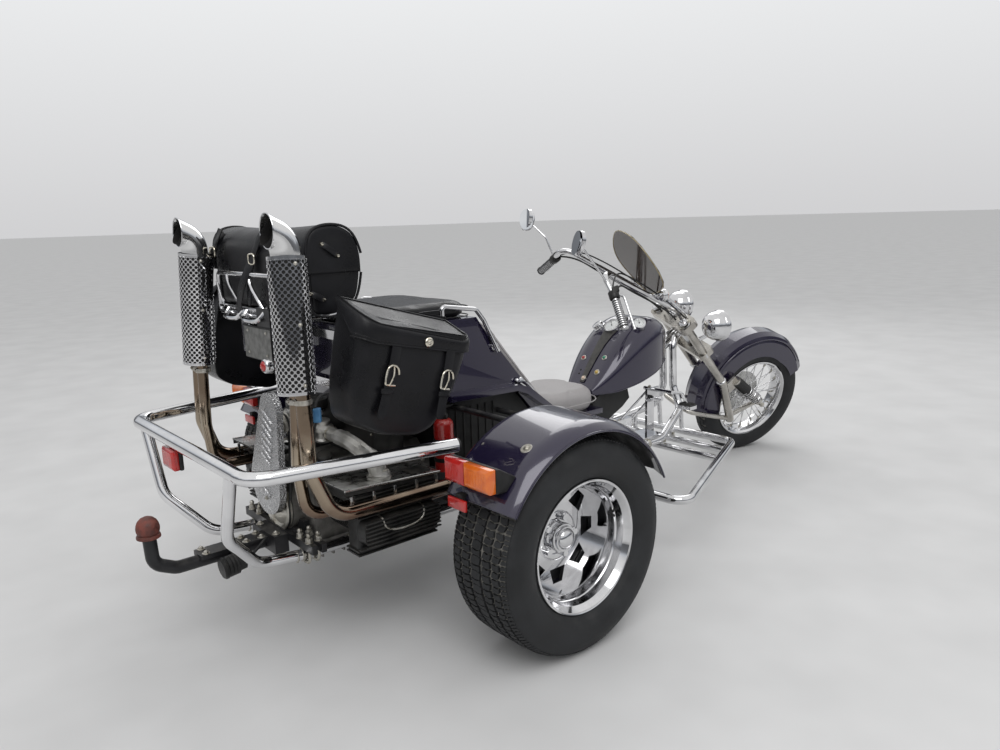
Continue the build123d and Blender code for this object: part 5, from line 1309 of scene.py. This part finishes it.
# Plate holder: a black bracket with a worn, galvanised backing sheet, left blank, and a round red
# lamp with a chromed ring.
paint(BLACK, "plate_holder")
GALVANISED = finish_of("galvanised sheet", (0.13, 0.13, 0.125), (0.28, 0.28, 0.27), (0.35, 0.6), 0.8, 55,
                       0.0005, 260)
panel = stood(-607.5, -130, 61, 900, 998, Vector((-0.0012, 0, 0)), 0.6, 1)
keep(panel, "plate_backing", GALVANISED)
keep(copied(bolt(4.5, 4, 1.5), [(P(-608.5, y, z), (-1, 0, 0)) for y in (-100, 30) for z in (915, 984)]),
     "plate_bolts", ZINC)
glass = turned([(0, 32), (8, 31), (15, 27), (18, 20), (18.5, 16)], P(-604, -107, 888), AFT, 32)
keep(glass, "round_lamp_glass", RED_LENS)
ring = turned([(17, 24), (20, 23), (23, 19), (23.5, 8), (25, 4), (25, 0), (20, 0)], P(-604, -107, 888), AFT,
              36)
keep(ring, "round_lamp_ring", CHROME)
wire = pipe([P(-598, -107, 876), P(-590, -112, 850), P(-560, -120, 820), P(-520, -118, 790),
             P(-490, -110, 770)], 3)
keep(wire, "round_lamp_lead", RUBBER)

# Fire extinguisher: a small red bottle with a black valve and a clamp band. Its body is plain.
RED = finish_of("red paint", (0.30, 0.010, 0.010), (0.42, 0.018, 0.015), (0.18, 0.34), 0.0, 9, coat=0.7)
paint(RED, "extinguisher")
bands = [turned([(34, -7), (35.4, -7), (35.4, 7), (34, 7)], P(-82, -272, z), UP, 32) for z in (510, 575)]
keep(joined(bands), "extinguisher_bands", PLASTIC)
valve = turned([(0, 52), (12, 50), (13, 30), (16, 26), (16, 10), (12, 4), (12, -4)], P(-82, -272, 640), UP,
               20)
grip = pushed([P(-92, -278, 680), P(-40, -278, 690), P(-40, -278, 696), P(-92, -278, 690)],
              Vector((0, 0.012, 0)), 1.5, 2)
keep(joined([valve, grip]), "extinguisher_valve", PLASTIC)

# Step frames: plain chromed tube, hung under the lower rails on bolted lugs.
paint(CHROME, "footboards")
hangers = [(P(x, side * y, 262), (0, side, 0)) for side in (-1, 1) for x, y in ((1400, 123), (1270, 171))]
keep(copied(bolt(7, 6), hangers), "step_bolts", ZINC)

# Foot controls: chromed brackets, shafts and rods to the back, with ribbed rubber pedals.
paint(CHROME, "pedals")
pedal = [laid(1302, 1350, -288, -217, 441, Vector((0, 0, 0.006)), 3)]
for x in range(1306, 1351, 9):
    pedal.append(laid(x, x + 4, -284, -221, 447, Vector((0, 0, 0.004)), 1, 1))
keep(mirrored(joined(pedal)), "pedal_rubbers", RUBBER)
ends = []
for side in (-1, 1):
    for x, y, z in ((1244, 96, 510), (1275, 82, 462), (1030, 96, 389), (1090, 82, 352)):
        ends.append((P(x, side * (y + 6), z), (0, side, 0)))
keep(copied(bolt(8, 8), ends), "rod_ends", ZINC)

# Fork: chromed leading-link fork, parked turned to the right. Two bent legs, a big polished upper
# clamp, a lower clamp, a brace loop behind the wheel, links with coil springs in black sleeves.
RAKE, STEER, HEAD = radians(44.5), radians(-22), Vector((1584, 0, 800))
STEER_AXIS = Vector((-sin(RAKE), 0, cos(RAKE)))
TURN = Matrix.Rotation(STEER, 3, STEER_AXIS)
rake_cos, rake_sin = cos(RAKE), sin(RAKE)


def F(x, y, z):
    """A place on the front end, given as it stands with the wheel straight ahead."""
    q = HEAD + TURN @ (Vector((x, y, z)) - HEAD)
    return P(q.x, q.y, q.z)


def G(u, v, w):
    """A place on the front end: ahead of the steering axis, to the left, and up along the axis."""
    return F(HEAD.x + u * rake_cos - w * rake_sin, v, HEAD.z + u * rake_sin + w * rake_cos)


def along(u, v, w):
    """A direction on the front end."""
    return (G(u, v, w) - G(0, 0, 0)).normalized()


SATIN = finish_of("satin steel", (0.40, 0.38, 0.35), (0.58, 0.56, 0.52), (0.16, 0.32), 1.0, 12, dust=0.3)
paint(SATIN, "fork")
collars, nuts = [], []
for side in (-1, 1):
    for w, radius, high in ((22, 25, 14), (-214, 25, 30), (-430, 24, 12)):
        ring = [(21, 0), (radius, 1), (radius + 1.5, 3), (radius + 1.5, high - 3), (radius, high - 1),
                (21, high)]
        collars.append(turned(ring, G(-24, side * 112, w), along(0, 0, 1), 36))
    collars.append(turned([(0, 12), (13, 11), (19, 7), (21, 0), (21, -4)], G(-24, side * 112, 50),
                          along(0, 0, 1), 32))
    for u, w in ((-44, 36), (-4, 36)):
        nuts.append((G(u, side * 112, w), along(0, 0, 1)))
    nuts.append((G(85, side * 136, -763), along(0, side, 0)))
    nuts.append((G(-98, side * 94, -690), along(0, side, 0)))
collars.append(turned([(0, 18), (16, 17), (24, 13), (27, 4), (27, 0)], G(0, 0, 34), along(0, 0, 1), 36))
keep(joined(collars), "fork_collars", CHROME, "steering")
keep(copied(bolt(9, 9), nuts), "fork_nuts", ZINC, "steering")
coils, sleeves = [], []
for side in (-1, 1):
    low, high = G(88, side * 112, -735), G(41, side * 112, -495)
    axis = (high - low).normalized()
    out = axis.orthogonal().normalized()
    turns = [low + axis * (0.02 + 0.115 * k / 96) + Matrix.Rotation(2 * pi * k / 12, 3, axis) @ out * 0.0272
             for k in range(97)]
    coils.append(pipe(turns, 3.4, fine=2, smooth=False))
    gaiter = [(24, 0)] + [(28.6 if k % 2 else 26, 4 + 5 * k) for k in range(27)] + [(24, 138)]
    sleeves.append(turned(gaiter, low + axis * 0.098, axis, 32))
keep(joined(coils), "fork_springs", CHROME, "steering")
keep(joined(sleeves), "fork_gaiters", RUBBER, "steering")

# Front fender: a short violet shell close round the wheel on stays from the fork. The shell is the
# drawn solid; a rolled bead is laid along both of its edges.
paint(PAINT, "front_fender")
hub_x = HEAD.x + 85 * rake_cos + 763 * rake_sin
hub_z = HEAD.z + 85 * rake_sin - 763 * rake_cos
fender_x, fender_z = hub_x - 32, hub_z + 43


def guard_place(y, r, degrees):
    """A place on the front fender: across, out from its centre, and round from straight ahead."""
    return F(fender_x + r * cos(radians(degrees)), y, fender_z + r * sin(radians(degrees)))


beads = []
for side in (-1, 1):
    beads.append(pipe([guard_place(side * 82, 322, 34 + 156 * k / 39) for k in range(40)], 3.2, fine=2))
keep(joined(beads), "front_fender_beads", PAINT, "steering")

# Headlamps: two chromed bowls on the upper clamp, each with a deep rim and a fluted glass before
# a bright reflector.
paint(CHROME, "headlamps")
GLASS, add, link, shader = material("lamp glass")
waves = add("ShaderNodeTexWave")
waves.inputs["Scale"].default_value = 26
waves.bands_direction = "Y"
link(add("ShaderNodeTexCoord").outputs["Object"], waves.inputs["Vector"])
flute = add("ShaderNodeBump")
flute.inputs["Distance"].default_value = 0.0015
link(waves.outputs["Fac"], flute.inputs["Height"])
link(flute.outputs[0], shader.inputs["Normal"])
tones = ramp(add("ShaderNodeValToRGB"), [(0.2, (0.62, 0.65, 0.66)), (0.8, (0.86, 0.88, 0.88))])
link(waves.outputs["Fac"], tones.inputs[0])
link(tones.outputs[0], shader.inputs["Base Color"])
shader.inputs["Roughness"].default_value = 0.08
shader.inputs["Metallic"].default_value = 0.55
shader.inputs["Coat Weight"].default_value = 1.0
looking = TURN @ Vector((1, 0, 0))
rings, glasses = [], []
for side in (-1, 1):
    centre = G(95, side * 149, -80)
    rings.append(turned([(60, 20), (66, 30), (72, 31), (76, 27), (77, 20), (76, 10), (72, 4), (70, 0)],
                        centre, looking, 48))
    glasses.append(turned([(0, 34), (20, 33.4), (42, 30.6), (58, 26), (67, 22)], centre, looking, 48))
keep(joined(rings), "headlamp_rims", CHROME, "steering")
keep(joined(glasses), "headlamp_glass", GLASS, "steering")

# Handlebar: wide chromed bar on tall risers, with ribbed black grips, chromed ends and switch
# housings. The control cables run down it, clipped to the bar and to the upper clamp.
paint(CHROME, "handlebar")
grips, ends, boxes = [], [], []
for side in (-1, 1):
    start, end = G(-272, side * 286, 565), G(-335, side * 388, 503)
    axis = (end - start).normalized()
    outline = [(13, -2), (17, -1)]
    for k in range(12):
        outline += [(18.6, 3 + 9.6 * k), (18.6, 8 + 9.6 * k), (17, 9 + 9.6 * k), (17, 12 + 9.6 * k)]
    outline += [(20.5, 121), (20.5, 126), (13, 128)]
    grips.append(turned(outline, start, axis, 28))
    ends.append(turned([(20, 0), (19, 6), (14, 10), (0, 11)], start + axis * 0.128, axis, 28))
    box = turned([(14, 0), (21, 1), (23, 4), (23, 34), (21, 37), (14, 38)], start - axis * 0.046, axis, 24)
    pad = pushed([start - axis * 0.04 + along(0, 0, 1) * 0.02, start - axis * 0.012 + along(0, 0, 1) * 0.02,
                  start - axis * 0.012 + along(1, 0, 0.2) * 0.03,
                  start - axis * 0.04 + along(1, 0, 0.2) * 0.03], along(1, 0, 1) * 0.012, 3)
    boxes += [box, pad]
keep(joined(grips), "grips", RUBBER, "steering")
keep(joined(ends), "grip_ends", CHROME, "steering")
keep(joined(boxes), "switch_housings", TIN, "steering")
cables = []
for side in (-1, 1):
    cables.append(pipe([G(-246, side * 262, 578), G(-196, side * 200, 560), G(-150, side * 120, 420),
                        G(-80, side * 70, 240), G(-36, side * 62, 110), G(-30, side * 58, 48)], 4.2))
    cables.append(pipe([G(-240, side * 240, 590), G(-176, side * 170, 600), G(-110, side * 100, 470),
                        G(-40, side * 84, 260), G(6, side * 80, 60), G(20, side * 76, -40)], 3.4))
keep(joined(cables), "control_cables", RUBBER, "steering")

# Windshield: a broad smoked screen, broadest at its middle, with a paler cut edge. It leans back on
# chromed stays, which share its solid.
SMOKE, add, link, shader = material("smoked screen")
haze = add("ShaderNodeTexNoise")
haze.inputs["Scale"].default_value = 5
haze.inputs["Detail"].default_value = 8
link(add("ShaderNodeTexCoord").outputs["Object"], haze.inputs["Vector"])
tones = ramp(add("ShaderNodeValToRGB"), [(0.3, (0.075, 0.060, 0.052)), (0.7, (0.115, 0.092, 0.080))])
link(haze.outputs["Fac"], tones.inputs[0])
link(tones.outputs[0], shader.inputs["Base Color"])
wear = add("ShaderNodeMapRange")
wear.inputs["To Min"].default_value = 0.04
wear.inputs["To Max"].default_value = 0.16
link(haze.outputs["Fac"], wear.inputs["Value"])
link(wear.outputs[0], shader.inputs["Roughness"])
shader.inputs["IOR"].default_value = 1.49
shader.inputs["Transmission Weight"].default_value = 0.45
paint(SMOKE, "windshield")
nodes["windshield"].data.materials.append(CHROME)
tilt = RAKE - radians(10)
facing = TURN @ Vector((cos(tilt), 0, sin(tilt)))
sheet_up = TURN @ Vector((-sin(tilt), 0, cos(tilt)))
screen_foot = G(-50, 0, 250)
for polygon in nodes["windshield"].data.polygons:
    if abs((polygon.center - screen_foot).dot(facing)) > 0.0052:
        polygon.material_index = 1
edge = [(0, -12), (62, 12), (126, 58), (174, 96), (196, 140), (188, 200), (150, 262), (108, 312), (60, 342),
        (0, 350)]
edge += [(-u, w) for u, w in reversed(edge[1:-1])]
sideways = along(0, 1, 0)
trim = pipe([screen_foot + sideways * u / 1000 + sheet_up * w / 1000 for u, w in edge], 2.6, closed=True,
            fine=2)
EDGE = finish_of("screen edge", (0.24, 0.19, 0.10), (0.42, 0.35, 0.20), (0.15, 0.3), 0.0, 30, coat=0.6,
                 dust=0.1)
keep(trim, "screen_edge", EDGE, "steering")

# Mirrors: oval chromed shells on bent stalks; the glass looks back to the driver.
paint(CHROME, "mirrors")
MIRROR = finish_of("mirror glass", (0.72, 0.74, 0.76), (0.80, 0.82, 0.84), (0.01, 0.04), 1.0, 4, dust=0.08)
faces, backs = [], []
for place in (G(-233, 386, 768), G(-240, -215, 857)):
    clear()
    look = Vector((-0.55, -0.35 if place.y > 0 else 0.21, 0.14)).normalized()
    turn = look.to_track_quat("Z", "Y").to_matrix().to_4x4()
    bpy.ops.mesh.primitive_uv_sphere_add(segments=32, ring_count=16, radius=1)
    shell = bpy.context.object
    shell.data.transform(Matrix.Diagonal((0.0375, 0.0535, 0.016, 1)))
    shell.data.transform(Matrix.Translation(place) @ turn)
    backs.append(shell)
    glass = turned([(0, 0), (0.9, 0), (1, -0.03)], ORIGIN, UP, 36)
    glass.data.transform(Matrix.Diagonal((34, 50, 8, 1)))
    glass.data.transform(Matrix.Translation(place + look * 0.0162) @ turn)
    faces.append(glass)
keep(joined(backs), "mirror_shells", CHROME, "steering")
keep(joined(faces), "mirror_glasses", MIRROR, "steering")

# Indicators: a domed amber lens before a round chromed body, one on each side of the clamp.
blinkers, rims = [], []
for side in (-1, 1):
    centre = G(-33, side * 112, 262)
    blinkers.append(turned([(27, 8), (25, 14), (16, 18), (0, 19.5)], centre, TURN @ Vector((1, 0, 0)), 32))
    rims.append(turned([(27, 8), (26, 15), (18, 21), (8, 24), (0, 25)], centre, TURN @ Vector((-1, 0, 0)),
                       32))
    rims.append(turned([(26, -9), (29, -8), (30, -4), (30, 4), (29, 8), (26, 9)], centre,
                       TURN @ Vector((1, 0, 0)), 32))
keep(joined(blinkers), "indicator_lenses", AMBER_LENS, "steering")
keep(joined(rims), "indicator_rims", CHROME, "steering")

# Rear wheels: chromed fifteen inch rims with a rolled lip and a windowed disc. The rim is the drawn
# solid; the cap, domed nuts, lip, well ridges and valve are added, and the drum behind it is black.
wheel_out_by = 742
paint(CHROME, "rear_rim_right", "rear_rim_left")
for side, word in ((-1, "right"), (1, "left")):
    for polygon in nodes["rear_rim_" + word].data.polygons:
        away = polygon.center - P(0, side * wheel_out_by, hub_height)
        inward = away.y * side < -0.0285
        if inward and sqrt(away.x ** 2 + away.z ** 2) < 0.1:
            polygon.material_index = 1
    nodes["rear_rim_" + word].data.materials.append(BLACK)
    hub = P(0, side * wheel_out_by, hub_height)
    out = Vector((0, side, 0))
    dome = turned([(0, 43), (12, 42), (22, 39), (30, 33), (34, 26), (36, 18), (45, 16), (47, 12),
                   (47, -12)], hub, out, 48)
    steps = turned([(47, -13), (58, -12.5), (60, -11), (74, -11), (76, -12.6), (80, -13.4)], hub, out, 64)
    lip = turned([(186, 92), (196, 104), (202, 113), (207, 115.5), (209, 112), (208.6, 106)], hub, out, 96)
    inner = turned([(172.4, 38), (170.9, 41), (170.9, 45), (172.4, 48), (177.4, 64), (176.0, 67),
                    (177.2, 71), (180, 74)], hub, out, 96)
    keep(joined([dome, steps, lip, inner]), "rim_trim_" + word, CHROME, "rear_wheel_" + word)
    backing = turned([(97, -46), (168, -46), (168, -50), (97, -50)], hub, out, 64)
    keep(backing, "brake_backing_" + word, BLACK, "rear_wheel_" + word)
    nut = bolt(10, 12, 1.3)
    crown = turned([(9.4, 11), (8.4, 16), (4.5, 19.5), (0, 20.5)], ORIGIN, UP, 16)
    places = [(hub + Vector((62 * cos(t), side * -9, 62 * sin(t))) / 1000, out) for t in angles(5)]
    keep(copied(joined([nut, crown]), places), "wheel_nuts_" + word, CHROME, "rear_wheel_" + word)
    stem = turned([(4.5, 0), (4.5, 22), (3.4, 24), (3.8, 26), (3.8, 33), (0, 34)],
                  hub + Vector((0.168, side * 0.052, 0.05)), Vector((-0.35, side, -0.1)), 14)
    keep(stem, "valve_" + word, RUBBER, "rear_wheel_" + word)

# Rear tyres: wide road tyres with smooth, unmarked sidewalls. The tread is five rows of zigzag blocks
# between two rows of shoulder blocks, cut for one pitch, laid on the crown and spun round the wheel.
TREAD = finish_of("tyre rubber", (0.012, 0.0125, 0.0135), (0.026, 0.027, 0.029), (0.5, 0.75), 0.0, 12,
                  0.0004, 260, dust=0.2, shine=0.35)
GROOVE = finish_of("dusty groove", (0.10, 0.096, 0.086), (0.21, 0.20, 0.18), (0.8, 0.95), 0.0, 26, 0.0006,
                   200, dust=0.2)
PITCHES = 48


def crown_height(y, shape):
    """The tread's radius at a distance across the tyre."""
    for (r0, y0), (r1, y1) in zip(shape, shape[1:]):
        if y0 <= abs(y) <= y1:
            return r0 + (r1 - r0) * (abs(y) - y0) / (y1 - y0)
    return shape[-1][0]


def tread_block(corners, centre, out, ahead_way, shape, pitches, depth, lift):
    """One tread block from its corners (share of a pitch, distance across), on the crown."""
    def on_crown(share, y, extra):
        t = 2 * pi * share / pitches
        r = crown_height(y, shape) - depth + extra
        turn = Matrix.Rotation(t, 3, out)
        return centre + turn @ ahead_way * r / 1000 + out * y / 1000
    base = [on_crown(u, y, 0) for u, y in corners]
    top = [on_crown(u, y, lift) for u, y in corners]
    made = traced(base + base[:1])
    bpy.ops.mesh.remove_doubles(threshold=0.00001)
    bpy.ops.mesh.edge_face_add()
    grown_to(made, base, top)
    return settled(made)


def tyre_walls(half_wall, hub, axis, groove_from):
    """A smooth carcass turned from half its section; beyond a radius it takes the grooves' dusty tone."""
    wall = half_wall + [(r, -h) for r, h in reversed(half_wall)] + half_wall[:1]
    made = turned(wall, hub, axis, 96)
    made.data.materials.append(TREAD)
    made.data.materials.append(GROOVE)
    for polygon in made.data.polygons:
        away = polygon.center - hub
        if (away - axis * away.dot(axis)).length > groove_from:
            polygon.material_index = 1
    return made


def tread(blocks, centre, out, ahead_way, shape, pitches, depth, lift):
    """All the blocks of one pitch, spun round the wheel as copies."""
    one = joined([tread_block(corners, centre, out, ahead_way, shape, pitches, depth, lift)
                  for corners in blocks])
    chosen(one)
    bpy.ops.object.mode_set(mode="EDIT")
    bpy.ops.mesh.select_all(action="SELECT")
    bpy.ops.mesh.spin(steps=pitches - 1, angle=2 * pi * (pitches - 1) / pitches, center=centre, axis=out,
                      dupli=True)
    bpy.ops.object.mode_set(mode="OBJECT")
    return one


rear_blocks = [
    [(0.04, -16), (0.52, -20), (0.60, -4), (0.56, 16), (0.10, 20), (0.00, 4)],
    [(0.62, -20), (0.98, -16), (0.96, 4), (1.02, 18), (0.64, 16), (0.70, -4)],
]
for side in (-1, 1):
    rear_blocks += [[(0.10, side * 27), (0.46, side * 31), (0.54, side * 48), (0.44, side * 62),
                     (0.06, side * 58), (0.16, side * 42)], [(0.58, side * 31), (0.96, side * 27),
                                                             (1.02, side * 42), (0.94, side * 58),
                                                             (0.56, side * 62), (0.66, side * 48)],
                    [(0.08, side * 69), (0.44, side * 73), (0.50, side * 90), (0.42, side * 98),
                     (0.04, side * 94), (0.12, side * 82)], [(0.56, side * 73), (0.92, side * 69),
                                                             (0.98, side * 82), (0.90, side * 94),
                                                             (0.52, side * 98), (0.62, side * 90)],
                    [(0.06, side * 101), (0.28, side * 102), (0.28, side * 116), (0.06, side * 116)],
                    [(0.38, side * 102), (0.60, side * 102), (0.60, side * 116), (0.38, side * 116)],
                    [(0.70, side * 102), (0.93, side * 101), (0.93, side * 116), (0.70, side * 116)],]
for side, word in ((-1, "right"), (1, "left")):
    hub = P(0, side * wheel_out_by, hub_height)
    out = Vector((0, side, 0))
    carcass = tyre_walls([(196.3, -92), (208.5, -103), (210, -110), (214, -114), (222, -119), (227, -125),
                          (232, -126.5), (240, -131), (257, -136), (275, -138), (292, -136), (300, -131.5),
                          (306, -130), (315, -125), (322, -119), (326, -113), (328, -100), (332, -90),
                          (332, -66), (332.6, -50)], hub, out, 0.3245)
    keep(carcass, "tyre_walls_" + word, None, "rear_wheel_" + word)
    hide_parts("rear_tyre_" + word)
    blocks = tread(rear_blocks, hub, out, Vector((1, 0, 0)), [(340, 0), (340, 60), (337, 98), (326, 118)],
                   PITCHES, 9.5, 9.3)
    keep(blocks, "tyre_tread_" + word, TREAD, "rear_wheel_" + word)

# Front wheel: a chromed, spoked sixteen inch rim on a polished hub, with a nipple at every spoke and a
# brake disc on its left; its narrow tyre has a plain middle row and two rows of blocks on each side.
paint(CHROME, "front_rim")
wheel_hub = F(hub_x, 0, hub_z)
wheel_out = TURN @ Vector((0, 1, 0))
wheel_ahead = TURN @ Vector((1, 0, 0))
trim = [turned([(0, 48), (10, 47.6), (16, 44), (18, 40), (25, 38), (27, 30)], wheel_hub, wheel_out * s, 36)
        for s in (1, -1)]
trim += [turned([(212, 49.4), (216, 51.4), (220, 50.4), (221, 46), (219, 43)], wheel_hub, wheel_out * s, 96)
         for s in (1, -1)]
keep(joined(trim), "front_rim_trim", CHROME, "front_wheel")
nipples = []
for height, turn in ((-35, 38), (-35, -38), (35, 38), (35, -38)):
    for step in range(9):
        t = radians(step * 40 + (10 if height > 0 else 0) + turn * 0.25)
        spin = Matrix.Rotation(t, 3, wheel_out)
        away = spin @ wheel_ahead
        nipples.append((wheel_hub + away * 0.181 + wheel_out * height * 0.33 / 1000, away))
keep(copied(turned([(2.4, 0), (3.6, 1), (3.6, 9), (4.4, 11), (4.4, 15)], ORIGIN, UP, 10), nipples),
     "spoke_nipples", ZINC, "front_wheel")
disc = turned([(56, 52), (120, 52), (120, 56), (56, 56), (56, 52)], wheel_hub, wheel_out, 64)
spider = turned([(36, 48), (58, 50), (58, 54), (36, 54)], wheel_hub, wheel_out, 48)
keep(joined([disc, spider]), "front_brake_disc", BRIGHT, "front_wheel")
carcass = tyre_walls([(206.3, -34), (220.5, -41), (223, -47), (229, -51), (236, -56), (245, -60),
                      (257, -63.5), (270, -65), (284, -63), (295, -58), (303, -50), (306, -38), (310, -30),
                      (313, -12)], wheel_hub, wheel_out, 0.3045)
keep(carcass, "front_tyre_walls", None, "front_wheel")
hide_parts("front_tyre")
front_blocks = [[(0.05, -11), (0.95, -9), (1.0, 9), (0.1, 11)]]
for side in (-1, 1):
    front_blocks += [[(0.05, side * 16), (0.8, side * 14), (0.72, side * 30), (0.0, side * 32)],
                     [(0.1, side * 36), (0.7, side * 34), (0.6, side * 48), (0.06, side * 48)]]
blocks = tread(front_blocks, wheel_hub, wheel_out, wheel_ahead, [(320, 0), (320, 12), (312, 38), (303, 50)],
               40, 8, 7.8)
keep(blocks, "front_tyre_tread", TREAD, "front_wheel")

# Studio: a pale floor that keeps the trike's shadow, and two broad lamps. The camera sees a plain pale
# background; metal and lenses mirror a bright sky over a darker horizon.
clear()
bpy.ops.mesh.primitive_plane_add(size=400)
floor = bpy.context.object
floor.name = "floor"
floor_look, add, link, shader = material("pale floor")
cloud = add("ShaderNodeTexNoise")
cloud.inputs["Scale"].default_value = 3
link(add("ShaderNodeTexCoord").outputs["Object"], cloud.inputs["Vector"])
tones = ramp(add("ShaderNodeValToRGB"), [(0.3, (0.58, 0.58, 0.58)), (0.7, (0.63, 0.63, 0.63))])
link(cloud.outputs["Fac"], tones.inputs[0])
link(tones.outputs[0], shader.inputs["Base Color"])
shader.inputs["Roughness"].default_value = 0.9
floor.data.materials.append(floor_look)

world = bpy.data.worlds.new("world")
bpy.context.scene.world = world
world.use_nodes = True
tree = world.node_tree
add, link = tree.nodes.new, tree.links.new
high = add("ShaderNodeSeparateXYZ")
skyward = add("ShaderNodeTexCoord").outputs["Generated"]
link(skyward, high.inputs[0])
skyline = add("ShaderNodeTexNoise")
skyline.inputs["Scale"].default_value = 2.6
link(skyward, skyline.inputs["Vector"])
lifted = add("ShaderNodeMath")
lifted.operation = "MULTIPLY_ADD"
lifted.inputs[1].default_value = 0.36
link(skyline.outputs["Fac"], lifted.inputs[0])
link(high.outputs["Z"], lifted.inputs[2])
sky = ramp(add("ShaderNodeValToRGB"), [(0.0, (0.20, 0.20, 0.21)), (0.18, (0.15, 0.155, 0.165)),
                                       (0.36, (0.24, 0.25, 0.27)), (0.44, (0.72, 0.75, 0.80)),
                                       (0.6, (1.0, 1.0, 1.0)), (1.0, (1.0, 1.0, 1.0)),])
link(lifted.outputs[0], sky.inputs[0])
back = tree.nodes["Background"]
link(sky.outputs[0], back.inputs[0])
back.inputs[1].default_value = 0.82
plain = add("ShaderNodeBackground")
horizon = ramp(add("ShaderNodeValToRGB"), [(0.0, (0.64, 0.64, 0.65)), (0.03, (0.66, 0.66, 0.67)),
                                                       (0.26, (0.84, 0.85, 0.86))])
link(high.outputs["Z"], horizon.inputs[0])
link(horizon.outputs[0], plain.inputs[0])
swap = add("ShaderNodeMixShader")
link(add("ShaderNodeLightPath").outputs["Is Camera Ray"], swap.inputs[0])
link(back.outputs[0], swap.inputs[1])
link(plain.outputs[0], swap.inputs[2])
link(swap.outputs[0], tree.nodes["World Output"].inputs[0])
for name, place, power in (("key", (-3.0, -3.5, 5.5), 150), ("fill", (4.0, 3.0, 5.0), 90)):
    data = bpy.data.lights.new(name, "AREA")
    data.size = 4
    data.energy = power
    made = bpy.data.objects.new(name, data)
    made.location = place
    made.rotation_euler = (Vector((0, 0, 0.5)) - Vector(place)).to_track_quat("-Z", "Y").to_euler()
    bpy.context.collection.objects.link(made)
